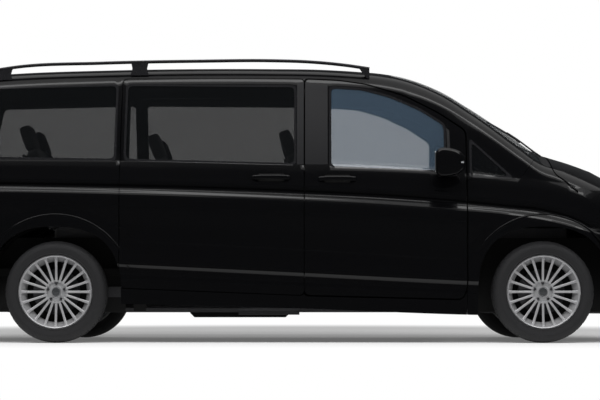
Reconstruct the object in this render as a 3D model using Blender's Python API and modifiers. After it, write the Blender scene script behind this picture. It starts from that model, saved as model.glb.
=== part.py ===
"""A minivan: a hollow body split at its real panels, cabin, running gear and four turning wheels.

The frame is in metres with +Z up. +X points forward, -Y is the vehicle's right-hand side, and
the origin is on the ground, below the middle of the length. Stations along the body are shares:
-1 is the tail, 0 the rear axle, 1 the front axle and 2 the nose.
"""
import math

import bmesh
import bpy
import numpy as np
from mathutils import Matrix, Vector

# Whole vehicle
WHEELBASE = 3.20
FRONT_OVERHANG = 0.895
REAR_OVERHANG = 1.045
BODY_WIDTH = 1.928
BODY_HEIGHT = 1.872
TRACK = 1.645
SEAT_GAP = 0.0003
PANEL_GAP = 0.0003
SHUT_GAP = 0.005
MOVING_GAP = 0.009
OVERRUN = 0.05
WELD_GAP = 0.00003

LENGTH = REAR_OVERHANG + WHEELBASE + FRONT_OVERHANG
HALF_WIDTH = BODY_WIDTH / 2
REAR_AXLE_X = REAR_OVERHANG - LENGTH / 2
FRONT_AXLE_X = REAR_AXLE_X + WHEELBASE
NOSE_X = LENGTH / 2
TAIL_X = -LENGTH / 2

# Lines along the side, as station and share of the body height
TOP_LINE_SHARES = (
    (-1, .948), (-.67, .970), (-.264, .986), (.082, .995), (.291, 1), (.438, 1), (.547, .998),
    (.625, .991), (.675, .984), (.719, .971), (.762, .948), (.807, .914), (.850, .870),
    (.895, .821), (.956, .748), (1.022, .691), (1.112, .677), (1.25, .657), (1.402, .631),
    (1.547, .604), (1.693, .572), (1.816, .532), (1.894, .497), (2, .427))
SILL_LINE_SHARES = (
    (-1, .152), (-.574, .147), (.175, .135), (.5, .121), (.869, .098), (1.447, .096), (2, .107))
CREASE_LINE_SHARES = (
    (-1, .310), (-.287, .299), (.093, .283), (.481, .250), (.828, .220), (1.447, .198), (2, .192))
HIP_LINE_SHARES = (
    (-1, .529), (-.287, .526), (.297, .507), (.706, .471), (1, .427), (1.447, .374), (2, .331))
SHOULDER_LINE_SHARES = (
    (-1, .566), (-.35, .560), (.276, .546), (.5, .532), (.706, .514), (.922, .481), (1, .466),
    (1.223, .438), (1.411, .395), (1.67, .363), (2, .353))
BELT_LINE_SHARES = (
    (-1, .649), (-.359, .645), (.295, .634), (.485, .625), (.789, .604), (.938, .580),
    (1.112, .560), (1.447, .515), (2, .440))
PLAN_WIDTH_SHARES = (
    (-1, .955), (-.383, .985), (.188, 1), (.656, 1), (.875, .995), (1.223, .975), (1.67, .945),
    (2, .900))
CROWN_DROP_SHARES = ((-1, .070), (.6, .070), (.85, .092), (1.2, .100), (2, .100))
EAVES_SHARE = .993
CROWN_POWER = 2.4

# Width over the height: 0 sill, 1 lower crease, 2 hip, 3 undercut, 4 belt, 5 eaves
SIDE_PROFILE_SHARES = (
    (0, .925), (.55, .950), (.93, .966), (1, .988), (1.12, .981), (1.55, .986), (1.9, 1),
    (2.2, .992), (2.6, .974), (3, .966), (3.15, .986), (3.35, .978), (4, .935), (5, .700))
SKIN_LEVELS_SHARE = (0, .5, .93, 1, 1.9, 2.5, 3, 3.15, 4, 4.5, 5)

# Nose and tail: how far the centre line stays back from the end at a share of the height
NOSE_INSET = 0.30
NOSE_INSET_SHARES = (
    (.08, .40), (.14, .12), (.22, 0), (.31, 0), (.37, .05), (.44, .18), (.50, .36), (.55, .62),
    (.60, 1))
TAIL_INSET = 0.25
TAIL_INSET_SHARES = (
    (.08, .16), (.16, .04), (.24, 0), (.33, 0), (.36, .16), (.53, .14), (.65, .22), (.75, .48),
    (.86, .80), (.905, .92), (.925, .56), (.98, .64))
NOSE_SWEEP = 0.46
NOSE_SWEEP_POWER = 3
TAIL_SWEEP = 0.20
TAIL_SWEEP_POWER = 4
EAVES_BLEND = 0.09
NOSE_BLEND = 0.22
TAIL_BLEND = 0.16

# The skin's mesh
SKIN_COLUMNS = 16
SKIN_ACROSS = 6
SKIN_END_ROWS = 3
SKIN_NOSE_STATION_SHARE = 1.34
SKIN_TAIL_STATION_SHARE = -.60
SKIN_EDGE_WIDTH_SHARE = .72
SKIN_EDGE_DROP = 0.030
NOSE_EDGE_HEIGHT = 0.90
TAIL_EDGE_HEIGHT = 1.745
BISECTIONS = 34
FLAT_ANGLE = math.radians(.05)

# Panel thicknesses
DOOR_DEPTH = 0.060
SIDE_DEPTH = 0.075
PILLAR_DEPTH = 0.042
PILLAR_FLANGE = 0.050
ROOF_DEPTH = 0.040
FENDER_DEPTH = 0.030
BONNET_DEPTH = 0.030
BUMPER_DEPTH = 0.045
TAILGATE_DEPTH = 0.050
LAMP_DEPTH = 0.055
GRILLE_DEPTH = 0.030
SCUTTLE_DEPTH = 0.030
GLASS_DEPTH = 0.005
GLASS_RECESS = 0.006
CORNER_RADIUS = 0.035
WALL_DEPTH = DOOR_DEPTH + SEAT_GAP + PILLAR_DEPTH
CORNER_STEPS = 2
CORNER_REACH_SHARE = .45
MITRE_LIMIT_SHARE = .3

# Panel outlines in side view, as station and share of the body height
FRONT_DOOR_SHARES = (
    (.510, .166), (.834, .152), (.844, .187), (.844, .748), (.787, .815), (.719, .876),
    (.641, .919), (.578, .935), (.510, .940))
SLIDING_DOOR_SHARES = ((.131, .192), (.510, .166), (.510, .940), (.131, .940))
FRONT_GLASS_SHARES = (
    (.564, .617), (.800, .601), (.800, .769), (.750, .825), (.688, .873), (.631, .900),
    (.564, .908))
SLIDING_GLASS_SHARES = ((.141, .644), (.491, .628), (.491, .911), (.141, .916))
REAR_QUARTER_GLASS_SHARES = ((-.699, .654), (.120, .644), (.120, .916), (-.574, .903))
FRONT_QUARTER_GLASS_SHARES = ((.853, .584), (.935, .582), (.853, .712))
FENDER_SHARES = (
    (.844, .080), (1, .080), (1, .331), (1.335, .321), (1.559, .382), (1.80, .382), (1.80, .600),
    (1.335, .750), (1, .680), (.953, .574), (.844, .574))
FRONT_BUMPER_SHARES = (
    (1.100, .040), (2.2, .040), (2.2, .382), (1.559, .382), (1.335, .321), (1.100, .331))
HEADLAMP_SHARES = (
    (1.331, .530), (1.434, .482), (1.559, .427), (1.690, .382), (2.2, .382), (2.2, .600),
    (1.368, .600))
REAR_BUMPER_SHARES = (
    (-1.2, .040), (-.287, .040), (-.287, .299), (-.383, .299), (-.500, .337), (-1.2, .342))
TAIL_LAMP_SHARES = (
    (-1.2, .481), (-.680, .490), (-.640, .530), (-.660, .630), (-.725, .655), (-.725, .750),
    (-1.2, .770))
TAILGATE_SIDE_SHARES = (
    (-1.2, .345), (-.500, .345), (-.500, .855), (-.670, .880), (-.670, 1.1), (-1.2, 1.1))

FRAME_SHARES = (
    (-.40, .16), (.90, .12), (.90, .60), (.84, .78), (.66, .945), (.50, .965), (-.40, .965))

# Panel outlines in plan, as station and share of the half width
ROOF_SHARES = ((-.670, .640), (.100, .670), (.690, .640))
WINDSCREEN_SHARES = ((.694, .640), (.850, .725), (1.000, .815))
SCUTTLE_SHARES = ((1.000, .830), (1.075, .830))
BONNET_SHARES = (
    (1.080, .840), (1.100, .885), (1.250, .915), (1.450, .905), (1.620, .820), (1.800, .600),
    (1.860, .300))
GRILLE_WIDTH_SHARE = .450
ROOF_LOW_SHARE = .900

# Tailgate outline from behind, as share of the half width and share of the body height
TAILGATE_SHARES = ((.820, .300), (.820, .460), (.770, .500), (.750, .700), (.690, .900), (.650, 1.10))
REAR_WINDOW_SHARES = ((.660, .680), (.610, .870))
ZONE_LOW_SHARE = .44
REAR_ZONE_SHARE = -.40

# Wheel arches
ARCH_HALF_LENGTH = 0.430
ARCH_HEIGHT = 0.426
ARCH_POWER = 2.5
ARCH_STEPS = 16
LINER_RIM = 0.034
LINER_GAP = 0.010
LINER_BOTTOM = 0.292
REAR_LINER_INNER_Y = 0.600
LINER_OUTER_INSET = 0.092

# Grille
GRILLE_SLOTS = 5
GRILLE_BAR = 0.012
GRILLE_BORDER = 0.020
GRILLE_TOP = 0.832
INTAKE_HALF_WIDTH = 0.46
INTAKE_BOTTOM = 0.235
INTAKE_TOP = 0.400
INTAKE_REACH = 0.360

# Rubber buffers on the rear bumper, on which the closed tailgate rests
BUFFER_Y = 0.300
BUFFER_LENGTH = 0.014
BUFFER_WIDTH = 0.050
BUFFER_HEIGHT = 0.045

# Wheels
TYRE_RADIUS = 0.335
TYRE_WIDTH = 0.225
TREAD_CROWN = 0.006
SHOULDER_RADIUS = 0.028
SHOULDER_SIDE_SHARE = .33
TREAD_FLAT_SHARE = .33
TYRE_STEPS = 28
SIDE_INNER_SHARE = .35
RIM_LIP_RADIUS = 0.2425
RIM_WELL_RADIUS = 0.200
RIM_WELL_SHARE = .33
RIM_WALL = 0.010
RIM_HALF_WIDTH = 0.095
RIM_FACE_INSET = 0.018
SPOKES = 20
SPOKE_DEPTH = 0.022
SPOKE_FOOT_SHARE = .42
SPOKE_TIP_SHARE = .28
HUB_RADIUS = 0.078
CAP_RADIUS = 0.030
CAP_DEPTH = 0.010
DISC_RADIUS = 0.150
DISC_DEPTH = 0.024
DISC_FACE_Y = 0.790
HUB_CORE_RADIUS = 0.060
ROUND_STEPS = 16

# Steering, knuckles and suspension
KINGPIN_Y = 0.700
KNUCKLE_LENGTH = 0.110
KNUCKLE_WIDTH = 0.070
KNUCKLE_HEIGHT = 0.300
KNUCKLE_CLEARANCE = 0.012
KNUCKLE_ROUNDING = 0.007
BALL_RADIUS = 0.022
ARM_WIDTH = 0.070
ARM_HEIGHT = 0.030
SUBFRAME_LENGTH = 0.620
SUBFRAME_HALF_WIDTH = 0.400
SUBFRAME_RAIL = 0.090
SUBFRAME_HEIGHT = 0.060
SUBFRAME_BOTTOM = 0.190
BEAM_RADIUS = 0.045
BEAM_LEAD = 0.130
TRAILING_ARM_WIDTH = 0.060
TRAILING_ARM_HEIGHT = 0.070
TRAILING_ARM_Y = 0.560

# Floor
FLOOR_BOTTOM = 0.268
FLOOR_DEPTH = 0.050
FLOOR_FRONT_X = 1.130
FLOOR_REAR_X = -2.290
FLOOR_HALF_WIDTH = 0.850
FLOOR_WAIST = 0.640
WHEEL_CLEARANCE = 0.475
BULKHEAD_DEPTH = 0.030
BULKHEAD_HALF_WIDTH = 0.760
BULKHEAD_TOP = 1.040
CHASSIS_LEG_Y = 0.430
CHASSIS_LEG_WIDTH = 0.070
CHASSIS_LEG_HEIGHT = 0.110
CHASSIS_LEG_BOTTOM = 0.480
CHASSIS_LEG_FRONT_X = 2.230
CROSSMEMBER_LENGTH = 0.070
JACK_PAD_LENGTH = 0.080
JACK_PAD_WIDTH = 0.050
JACK_PAD_HEIGHT = 0.060
JACK_PAD_Y = 0.730
JACK_PAD_INSET = 0.540
REAR_FLOOR_RISE = 0.175
REAR_FLOOR_WIDTH_SHARE = .90

# Engine, tank and exhaust
ENGINE_LENGTH = 0.520
ENGINE_WIDTH = 0.660
ENGINE_HEIGHT = 0.520
ENGINE_X = 1.640
TANK_LENGTH = 0.700
TANK_WIDTH = 0.560
TANK_HEIGHT = 0.110
TANK_X = -0.350
TANK_Y = 0.300
EXHAUST_RADIUS = 0.028
SILENCER_RADIUS = 0.045
SILENCER_LENGTH = 0.420
EXHAUST_Y = -0.180

# Cabin
SEAT_WIDTH = 0.520
SEAT_LENGTH = 0.500
CUSHION_DEPTH = 0.150
BACK_DEPTH = 0.130
BACK_HEIGHT = 0.640
BACK_LEAN = math.radians(20)
HEADREST_WIDTH = 0.260
HEADREST_HEIGHT = 0.190
HEADREST_DEPTH = 0.095
SEAT_BASE_WIDTH_SHARE = .74
SEAT_BASE_LENGTH_SHARE = .80
BACK_WIDTH_SHARE = .98
SEAT_ROUNDING = 0.030
CUSHION_TOP = 0.760
FRONT_SEAT_X = 0.420
FRONT_SEAT_Y = 0.400
SECOND_SEAT_X = -0.480
SECOND_SEAT_WIDTH = 1.180
THIRD_SEAT_X = -1.360
THIRD_SEAT_WIDTH = 1.060
REAR_SEAT_TOP = 0.740
THIRD_SEAT_TOP = 0.800
DASH_SHARES = (
    (0, .05), (.30, 0), (.62, .06), (.86, .34), (1, .72), (.90, .98), (.52, 1), (0, .80))
DASH_LENGTH = 0.400
DASH_BOTTOM = 0.690
DASH_HEIGHT = 0.360
DASH_HALF_WIDTH = 0.720
COLUMN_RADIUS = 0.035
COLUMN_LENGTH = 0.300
COLUMN_TILT = math.radians(66)
STEERING_RADIUS = 0.180
STEERING_GRIP = 0.015
STEERING_Z = 0.960
STEERING_LEAD = 0.100
STEERING_SPOKE_SHARES = (.25, .75, 0)
BENCH_REST_SHARES = (-.27, .27)

# Roof rails, mirrors and handles
RAIL_SHARES = (
    (-.410, .980), (-.290, .9900), (.082, 1.0040), (.291, 1.0110), (.438, 1.0125),
    (.520, 1.0080), (.600, .9950), (.650, .9820))
RAIL_Y_SHARE = .706
RAIL_STEPS = 16
RAIL_WIDTH = 0.040
RAIL_THICKNESS = 0.022
RAIL_FOOT_LENGTH = 0.110
RAIL_FOOT_SHARES = (-.410, .165, .650)
MIRROR_STATION_SHARES = (.775, .838)
MIRROR_HEIGHT_SHARES = (.578, .680)
MIRROR_REACH = 1.105
MIRROR_ROOT = 0.040
MIRROR_ROUNDING = 0.030
MIRROR_ARM_SIZE = 0.060
HANDLE_LENGTH = 0.230
HANDLE_HEIGHT = 0.028
HANDLE_REACH = 0.034
HANDLE_FOOT = 0.030
FRONT_HANDLE_STATION_SHARE = .578
SLIDING_HANDLE_STATION_SHARE = .442
HANDLE_HEIGHT_SHARE = .575
PLATE_LENGTH = 0.320
PLATE_HEIGHT = 0.160
PLATE_DEPTH = 0.010
PLATE_Z = 0.830

# Joints
HIP_TOUCH = 0.004


def station(share):
    """The x of a station: tail -1, rear axle 0, front axle 1, nose 2."""
    if share < 0:
        return REAR_AXLE_X + share * REAR_OVERHANG
    if share > 1:
        return FRONT_AXLE_X + (share - 1) * FRONT_OVERHANG
    return REAR_AXLE_X + share * WHEELBASE


def smooth_line(shares, size):
    """A smooth line over x through the given stations, its values shares of a size."""
    places = np.array([station(share) for share, _ in shares])
    values = size * np.array([value for _, value in shares])
    slopes = np.gradient(values, places)

    def value_at(x):
        x = np.clip(x, places[0], places[-1])
        i = np.clip(np.searchsorted(places, x) - 1, 0, len(places) - 2)
        span = places[i + 1] - places[i]
        t = (x - places[i]) / span
        start = (2 * t ** 3 - 3 * t ** 2 + 1) * values[i] + (t ** 3 - 2 * t ** 2 + t) * span * slopes[i]
        end = (3 * t ** 2 - 2 * t ** 3) * values[i + 1] + (t ** 3 - t ** 2) * span * slopes[i + 1]
        return start + end

    return value_at


top_line = smooth_line(TOP_LINE_SHARES, BODY_HEIGHT)
sill_line = smooth_line(SILL_LINE_SHARES, BODY_HEIGHT)
crease_line = smooth_line(CREASE_LINE_SHARES, BODY_HEIGHT)
hip_line = smooth_line(HIP_LINE_SHARES, BODY_HEIGHT)
shoulder_line = smooth_line(SHOULDER_LINE_SHARES, BODY_HEIGHT)
belt_line = smooth_line(BELT_LINE_SHARES, BODY_HEIGHT)
plan_width = smooth_line(PLAN_WIDTH_SHARES, HALF_WIDTH)
crown_drop = smooth_line(CROWN_DROP_SHARES, BODY_HEIGHT)
SIDE_LINES = (sill_line, crease_line, hip_line, shoulder_line, belt_line)


def side_half_width(x, z):
    """Half the body's width at a height, from the level between the side's feature lines."""
    heights = [line(x) for line in SIDE_LINES] + [EAVES_SHARE * BODY_HEIGHT + 0 * x]
    level = 0
    for low, high in zip(heights[:-1], heights[1:]):
        level = level + np.clip((z - low) / (high - low), 0, 1)
    levels, widths = zip(*SIDE_PROFILE_SHARES)
    return plan_width(x) * np.interp(level, levels, widths)


def roof_height(x, y):
    """Height of roof, windscreen and bonnet."""
    return top_line(x) - crown_drop(x) * (np.abs(y) / HALF_WIDTH) ** CROWN_POWER


def end_inset(z, shares, inset):
    """How far an end stays back at a height."""
    heights, insets = zip(*shares)
    return inset * np.interp(z / BODY_HEIGHT, heights, insets)


def nose_reach(y, z):
    """The x of the nose."""
    sweep = NOSE_SWEEP * (np.abs(y) / HALF_WIDTH) ** NOSE_SWEEP_POWER
    return NOSE_X - end_inset(z, NOSE_INSET_SHARES, NOSE_INSET) - sweep


def tail_reach(y, z):
    """The x of the tail."""
    sweep = TAIL_SWEEP * (np.abs(y) / HALF_WIDTH) ** TAIL_SWEEP_POWER
    return TAIL_X + end_inset(z, TAIL_INSET_SHARES, TAIL_INSET) + sweep


def smooth_max(a, b, blend):
    """The larger of two distances, rounded where they are alike."""
    near = np.maximum(blend - np.abs(a - b), 0)
    return np.maximum(a, b) + near * near / (4 * blend)


def outside(x, y, z):
    """Above zero outside the body's outer skin."""
    shape = smooth_max(np.abs(y) - side_half_width(x, z), z - roof_height(x, y), EAVES_BLEND)
    shape = smooth_max(shape, x - nose_reach(y, z), NOSE_BLEND)
    return smooth_max(shape, tail_reach(y, z) - x, TAIL_BLEND)


def to_skin(start, direction, reach):
    """Walks from points inside along their directions to the skin."""
    low = np.zeros(start.shape[:-1])
    high = low + reach
    for _ in range(BISECTIONS):
        middle = (low + high) / 2
        point = start + middle[..., None] * direction
        inside = outside(point[..., 0], point[..., 1], point[..., 2]) < 0
        low = np.where(inside, middle, low)
        high = np.where(inside, high, middle)
    return start + ((low + high) / 2)[..., None] * direction


def stack(*parts):
    """Broadcasts x, y and z to one array of points."""
    return np.stack(np.broadcast_arrays(*parts), axis=-1)


SKIN_NOSE_X = station(SKIN_NOSE_STATION_SHARE)
SKIN_TAIL_X = station(SKIN_TAIL_STATION_SHARE)


def level_height(x, level):
    """Height of a level of the side, where 5 is the edge between side and roof."""
    edge = roof_height(x, SKIN_EDGE_WIDTH_SHARE * HALF_WIDTH) - SKIN_EDGE_DROP
    heights = [line(x) for line in SIDE_LINES] + [edge]
    height = heights[0]
    for i, (low, high) in enumerate(zip(heights[:-1], heights[1:])):
        height = height + np.clip(level - i, 0, 1) * (high - low)
    return height


def side_points(u, v, side):
    """Points of one side: u runs from tail to nose and v up the levels."""
    x = SKIN_TAIL_X + u * (SKIN_NOSE_X - SKIN_TAIL_X)
    z = level_height(x, np.interp(v, LEVEL_STEPS, SKIN_LEVELS_SHARE))
    return to_skin(stack(x, 0 * x, z), stack(0 * x, side + 0 * x, 0 * x), BODY_WIDTH)


LEVEL_STEPS = np.linspace(0, 1, len(SKIN_LEVELS_SHARE))


def end_edge_height(t, end_x, middle_height):
    """Height of the edge between an end and the top, from the side at 1 to the middle at 0."""
    corner = level_height(end_x, 5)
    return middle_height + (corner - middle_height) * t * t


def end_points(u, v, end_x, middle_height, forward):
    """Points of nose or tail: u fans from right to left and v runs up."""
    t = 2 * u - 1
    angle = t * math.pi / 2
    sill = sill_line(end_x)
    edge = end_edge_height(t, end_x, middle_height)
    level = level_height(end_x, np.interp(v, LEVEL_STEPS, SKIN_LEVELS_SHARE))
    z = sill + (level - sill) * (edge - sill) / (level_height(end_x, 5) - sill)
    start = stack(end_x + 0 * t, 0 * t, z)
    return to_skin(start, stack(forward * np.cos(angle), np.sin(angle), 0 * t), LENGTH)


def top_points(u, v):
    """Points of the top: u runs from tail edge to nose edge and v from right to left."""
    t = 2 * v - 1
    rows = SKIN_COLUMNS + 2 * SKIN_END_ROWS
    place = u * rows
    x = SKIN_TAIL_X + np.clip((place - SKIN_END_ROWS) / SKIN_COLUMNS, 0, 1) * (SKIN_NOSE_X - SKIN_TAIL_X)
    edge_z = level_height(x, 5)
    edge = to_skin(stack(x, 0 * x, edge_z), stack(0 * x, 1 + 0 * x, 0 * x), BODY_WIDTH)
    y = t * edge[..., 1]
    tail_share = np.clip(1 - place / SKIN_END_ROWS, 0, 1)
    nose_share = np.clip((place - SKIN_END_ROWS - SKIN_COLUMNS) / SKIN_END_ROWS, 0, 1)
    tail_v = 1 + 0 * u
    tail = end_points(v, tail_v, SKIN_TAIL_X, TAIL_EDGE_HEIGHT, -1)
    nose = end_points(v, tail_v, SKIN_NOSE_X, NOSE_EDGE_HEIGHT, 1)
    x = x + tail_share * (tail[..., 0] - x) + nose_share * (nose[..., 0] - x)
    y = y + tail_share * (tail[..., 1] - y) + nose_share * (nose[..., 1] - y)
    start = stack(x, y, 0 * x + NOSE_EDGE_HEIGHT / 2)
    flat = to_skin(start, stack(0 * x, 0 * x, 1 + 0 * x), LENGTH)
    rim = np.maximum(tail_share, nose_share)[..., None] >= 1
    return np.where(rim, np.where(tail_share[..., None] >= 1, tail, nose), flat)


def add_grid(bm, columns, rows, place):
    """Adds a primitive grid and moves its points onto the skin."""
    grid = bmesh.ops.create_grid(bm, x_segments=columns, y_segments=rows, size=.5)
    verts = grid["verts"]
    uv = np.array([vert.co[:2] for vert in verts]) + .5
    for vert, point in zip(verts, place(uv[:, 0], uv[:, 1])):
        vert.co = point


def skin_mesh(name, inset):
    """The whole outer skin, open below, moved inwards by an inset."""
    rows = len(SKIN_LEVELS_SHARE) - 1
    bm = bmesh.new()
    add_grid(bm, SKIN_COLUMNS, rows, lambda u, v: side_points(u, v, -1))
    add_grid(bm, SKIN_COLUMNS, rows, lambda u, v: side_points(u, v, 1))
    add_grid(bm, SKIN_ACROSS, rows, lambda u, v: end_points(u, v, SKIN_NOSE_X, NOSE_EDGE_HEIGHT, 1))
    add_grid(bm, SKIN_ACROSS, rows, lambda u, v: end_points(u, v, SKIN_TAIL_X, TAIL_EDGE_HEIGHT, -1))
    add_grid(bm, SKIN_COLUMNS + 2 * SKIN_END_ROWS, SKIN_ACROSS, top_points)
    bmesh.ops.remove_doubles(bm, verts=bm.verts, dist=SEAT_GAP)
    bmesh.ops.recalc_face_normals(bm, faces=bm.faces)
    bm.normal_update()
    highest = max(bm.faces, key=lambda face: face.calc_center_median().z)
    if highest.normal.z < 0:
        bmesh.ops.reverse_faces(bm, faces=bm.faces)
        bm.normal_update()
    bmesh.ops.triangulate(bm, faces=bm.faces)
    bm.normal_update()
    for vert, normal in [(vert, vert.normal.copy()) for vert in bm.verts]:
        vert.co -= inset * normal
    mesh = bpy.data.meshes.new(name)
    bm.to_mesh(mesh)
    bm.free()
    return mesh


def fresh_scene():
    """Empties the scene and makes the two collections."""
    for obj in list(bpy.data.objects):
        bpy.data.objects.remove(obj)
    scene = bpy.context.scene
    made = []
    for name in ("minivan", "cutters"):
        collection = bpy.data.collections.new(name)
        scene.collection.children.link(collection)
        made.append(collection)
    return made


PIECES, CUTTERS = fresh_scene()


def finish(name, colour, roughness, metallic=0, alpha=1):
    """A material of one part."""
    material = bpy.data.materials.new(name)
    material.use_nodes = True
    shader = material.node_tree.nodes["Principled BSDF"]
    shader.inputs["Base Color"].default_value = (*colour, 1)
    shader.inputs["Roughness"].default_value = roughness
    shader.inputs["Metallic"].default_value = metallic
    shader.inputs["Alpha"].default_value = alpha
    return material


BLACK_PAINT_SHARES = (.006, .006, .007)
PLASTIC_SHARES = (.020, .020, .022)
GLASS_SHARES = (.09, .11, .12)
TRIM_SHARES = (.16, .16, .17)
METAL_SHARES = (.62, .62, .63)
RUBBER_SHARES = (.025, .025, .026)
STEEL_SHARES = (.10, .10, .11)
LAMP_SHARES = (.80, .82, .84)
RED_SHARES = (.45, .01, .01)
CLOTH_SHARES = (.13, .125, .12)

LOOKS = {
    "paint": (BLACK_PAINT_SHARES, .12, 0),
    "plastic": (PLASTIC_SHARES, .55, 0),
    "glass": (GLASS_SHARES, .04, 0),
    "trim": (TRIM_SHARES, .35, .6),
    "alloy": (METAL_SHARES, .28, 1),
    "rubber": (RUBBER_SHARES, .80, 0),
    "steel": (STEEL_SHARES, .55, .8),
    "lamp": (LAMP_SHARES, .06, 0),
    "red_lamp": (RED_SHARES, .08, 0),
    "cloth": (CLOTH_SHARES, .90, 0),
}


def piece(name, mesh, look, collection=PIECES):
    """A named object with its own material."""
    obj = bpy.data.objects.new(name, mesh)
    collection.objects.link(obj)
    if collection is CUTTERS:
        obj.hide_render = True
        obj.display_type = "WIRE"
        return obj
    mesh.materials.clear()
    mesh.materials.append(finish(name, *LOOKS[look]))
    return obj


def boolean(obj, other, operation):
    """Cuts, keeps or joins with another solid, which becomes a cutter."""
    modifier = obj.modifiers.new(operation.lower(), "BOOLEAN")
    modifier.operation = operation
    modifier.solver = "MANIFOLD"
    modifier.object = other
    if other.name not in CUTTERS.objects:
        for collection in list(other.users_collection):
            collection.objects.unlink(other)
        CUTTERS.objects.link(other)
    other.hide_render = True
    other.display_type = "WIRE"
    return obj


def union(obj, *others):
    """Joins solids that overlap into one."""
    for other in others:
        settle(boolean(obj, other, "UNION"))
    return obj


def settle(obj):
    """Replaces an object's mesh by its evaluated one, with its modifiers in it."""
    bpy.context.view_layer.update()
    graph = bpy.context.evaluated_depsgraph_get()
    mesh = bpy.data.meshes.new_from_object(obj.evaluated_get(graph))
    obj.modifiers.clear()
    obj.data = mesh
    return obj


def flattened(obj):
    """Merges the faces that lie in one plane."""
    settle(obj)
    bm = bmesh.new()
    bm.from_mesh(obj.data)
    bmesh.ops.dissolve_limit(bm, angle_limit=FLAT_ANGLE, verts=bm.verts, edges=bm.edges)
    bm.to_mesh(obj.data)
    bm.free()
    return obj


def grown(points, distance):
    """An outline moved outwards by a distance, its corners mitred."""
    corners = [Vector(point) for point in points]
    count = len(corners)
    area = sum(corners[i - 1].cross(corners[i]) for i in range(count))
    turn = 1 if area > 0 else -1
    result = []
    for i, corner in enumerate(corners):
        before = (corner - corners[i - 1]).normalized()
        after = (corners[(i + 1) % count] - corner).normalized()
        out_before = turn * Vector((before.y, -before.x))
        out_after = turn * Vector((after.y, -after.x))
        mitre = (out_before + out_after).normalized()
        result.append(corner + mitre * (distance / max(mitre.dot(out_before), MITRE_LIMIT_SHARE)))
    return result


def rounded(points, radius):
    """An outline with each corner as a short arc, smaller where its sides are short."""
    corners = [Vector(point) for point in points]
    count = len(corners)
    result = []
    for i, corner in enumerate(corners):
        back = corners[i - 1] - corner
        ahead = corners[(i + 1) % count] - corner
        reach = min(radius, back.length * CORNER_REACH_SHARE, ahead.length * CORNER_REACH_SHARE)
        start = corner + back.normalized() * reach
        end = corner + ahead.normalized() * reach
        for step in range(CORNER_STEPS + 1):
            t = step / CORNER_STEPS
            result.append((1 - t) ** 2 * start + 2 * t * (1 - t) * corner + t ** 2 * end)
    return result


AXIS_MATRICES = {
    "X": Matrix(((0, 0, 1, 0), (1, 0, 0, 0), (0, 1, 0, 0), (0, 0, 0, 1))),
    "Y": Matrix(((1, 0, 0, 0), (0, 0, -1, 0), (0, 1, 0, 0), (0, 0, 0, 1))),
    "Z": Matrix.Identity(4),
}


def prism(name, points, axis, low, high):
    """A flat outline extruded along an axis, made from a filled 2D curve."""
    curve = bpy.data.curves.new(name, "CURVE")
    curve.dimensions = "2D"
    curve.fill_mode = "BOTH"
    curve.extrude = abs(high - low) / 2
    spline = curve.splines.new("POLY")
    spline.points.add(len(points) - 1)
    for target, point in zip(spline.points, points):
        target.co = (point[0], point[1], 0, 1)
    spline.use_cyclic_u = True
    guide = bpy.data.objects.new(name, curve)
    CUTTERS.objects.link(guide)
    middle = (low + high) / 2
    along = -middle if axis == "Y" else middle
    mesh = curve_mesh(guide)
    mesh.transform(AXIS_MATRICES[axis] @ Matrix.Translation((0, 0, along)))
    return piece(name, mesh, "plastic", CUTTERS)


def curve_mesh(guide):
    """The closed mesh of a curve object, which is removed."""
    bpy.context.view_layer.update()
    graph = bpy.context.evaluated_depsgraph_get()
    mesh = bpy.data.meshes.new_from_object(guide.evaluated_get(graph))
    mesh.transform(guide.matrix_world)
    bpy.data.objects.remove(guide)
    bm = bmesh.new()
    bm.from_mesh(mesh)
    bmesh.ops.remove_doubles(bm, verts=bm.verts, dist=WELD_GAP)
    bmesh.ops.recalc_face_normals(bm, faces=bm.faces)
    bm.to_mesh(mesh)
    bm.free()
    return mesh


def side_outline(shares):
    """Side-view points from stations and shares of the body height."""
    return [(station(place), height * BODY_HEIGHT) for place, height in shares]


def plan_outline(shares):
    """Closed plan points from stations and shares of the half width, the same on both sides."""
    right = [(station(place), -width * HALF_WIDTH) for place, width in shares]
    return right + [(x, -y) for x, y in reversed(right)]


def rear_outline(shares):
    """Closed points from behind, from shares of half width and body height."""
    left = [(width * HALF_WIDTH, height * BODY_HEIGHT) for width, height in shares]
    return left + [(-y, z) for y, z in reversed(left)]


def side_zone(name, shares, side, grow, inner=SIDE_INNER_SHARE * HALF_WIDTH / 2):
    """A prism across one side of the body."""
    points = rounded(grown(side_outline(shares), grow), CORNER_RADIUS)
    ends = sorted((side * inner, side * (HALF_WIDTH + OVERRUN)))
    return prism(name, points, "Y", *ends)


def plan_zone(name, shares, grow):
    """A prism down through the roof, windscreen or bonnet."""
    points = rounded(grown(plan_outline(shares), grow), CORNER_RADIUS)
    return prism(name, points, "Z", ZONE_LOW_SHARE * BODY_HEIGHT, BODY_HEIGHT + OVERRUN)


def rear_zone(name, shares, grow):
    """A prism through the tail from behind."""
    points = rounded(grown(rear_outline(shares), grow), CORNER_RADIUS)
    return prism(name, points, "X", TAIL_X - OVERRUN, station(REAR_ZONE_SHARE))


SKINS = {}


def skin_patch(name, depth, look, low, high, inset=0):
    """A panel-thick part of the skin: what lies in a box."""
    if inset not in SKINS:
        SKINS[inset] = skin_mesh("skin", inset)
    obj = piece(name, SKINS[inset].copy(), look)
    solidify = obj.modifiers.new("depth", "SOLIDIFY")
    solidify.thickness = depth
    solidify.offset = -1
    solidify.use_even_offset = False
    size = [far - near for near, far in zip(low, high)]
    middle = [(far + near) / 2 for near, far in zip(low, high)]
    return settle(boolean(obj, block(name + "_box", size, middle), "INTERSECT"))


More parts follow.
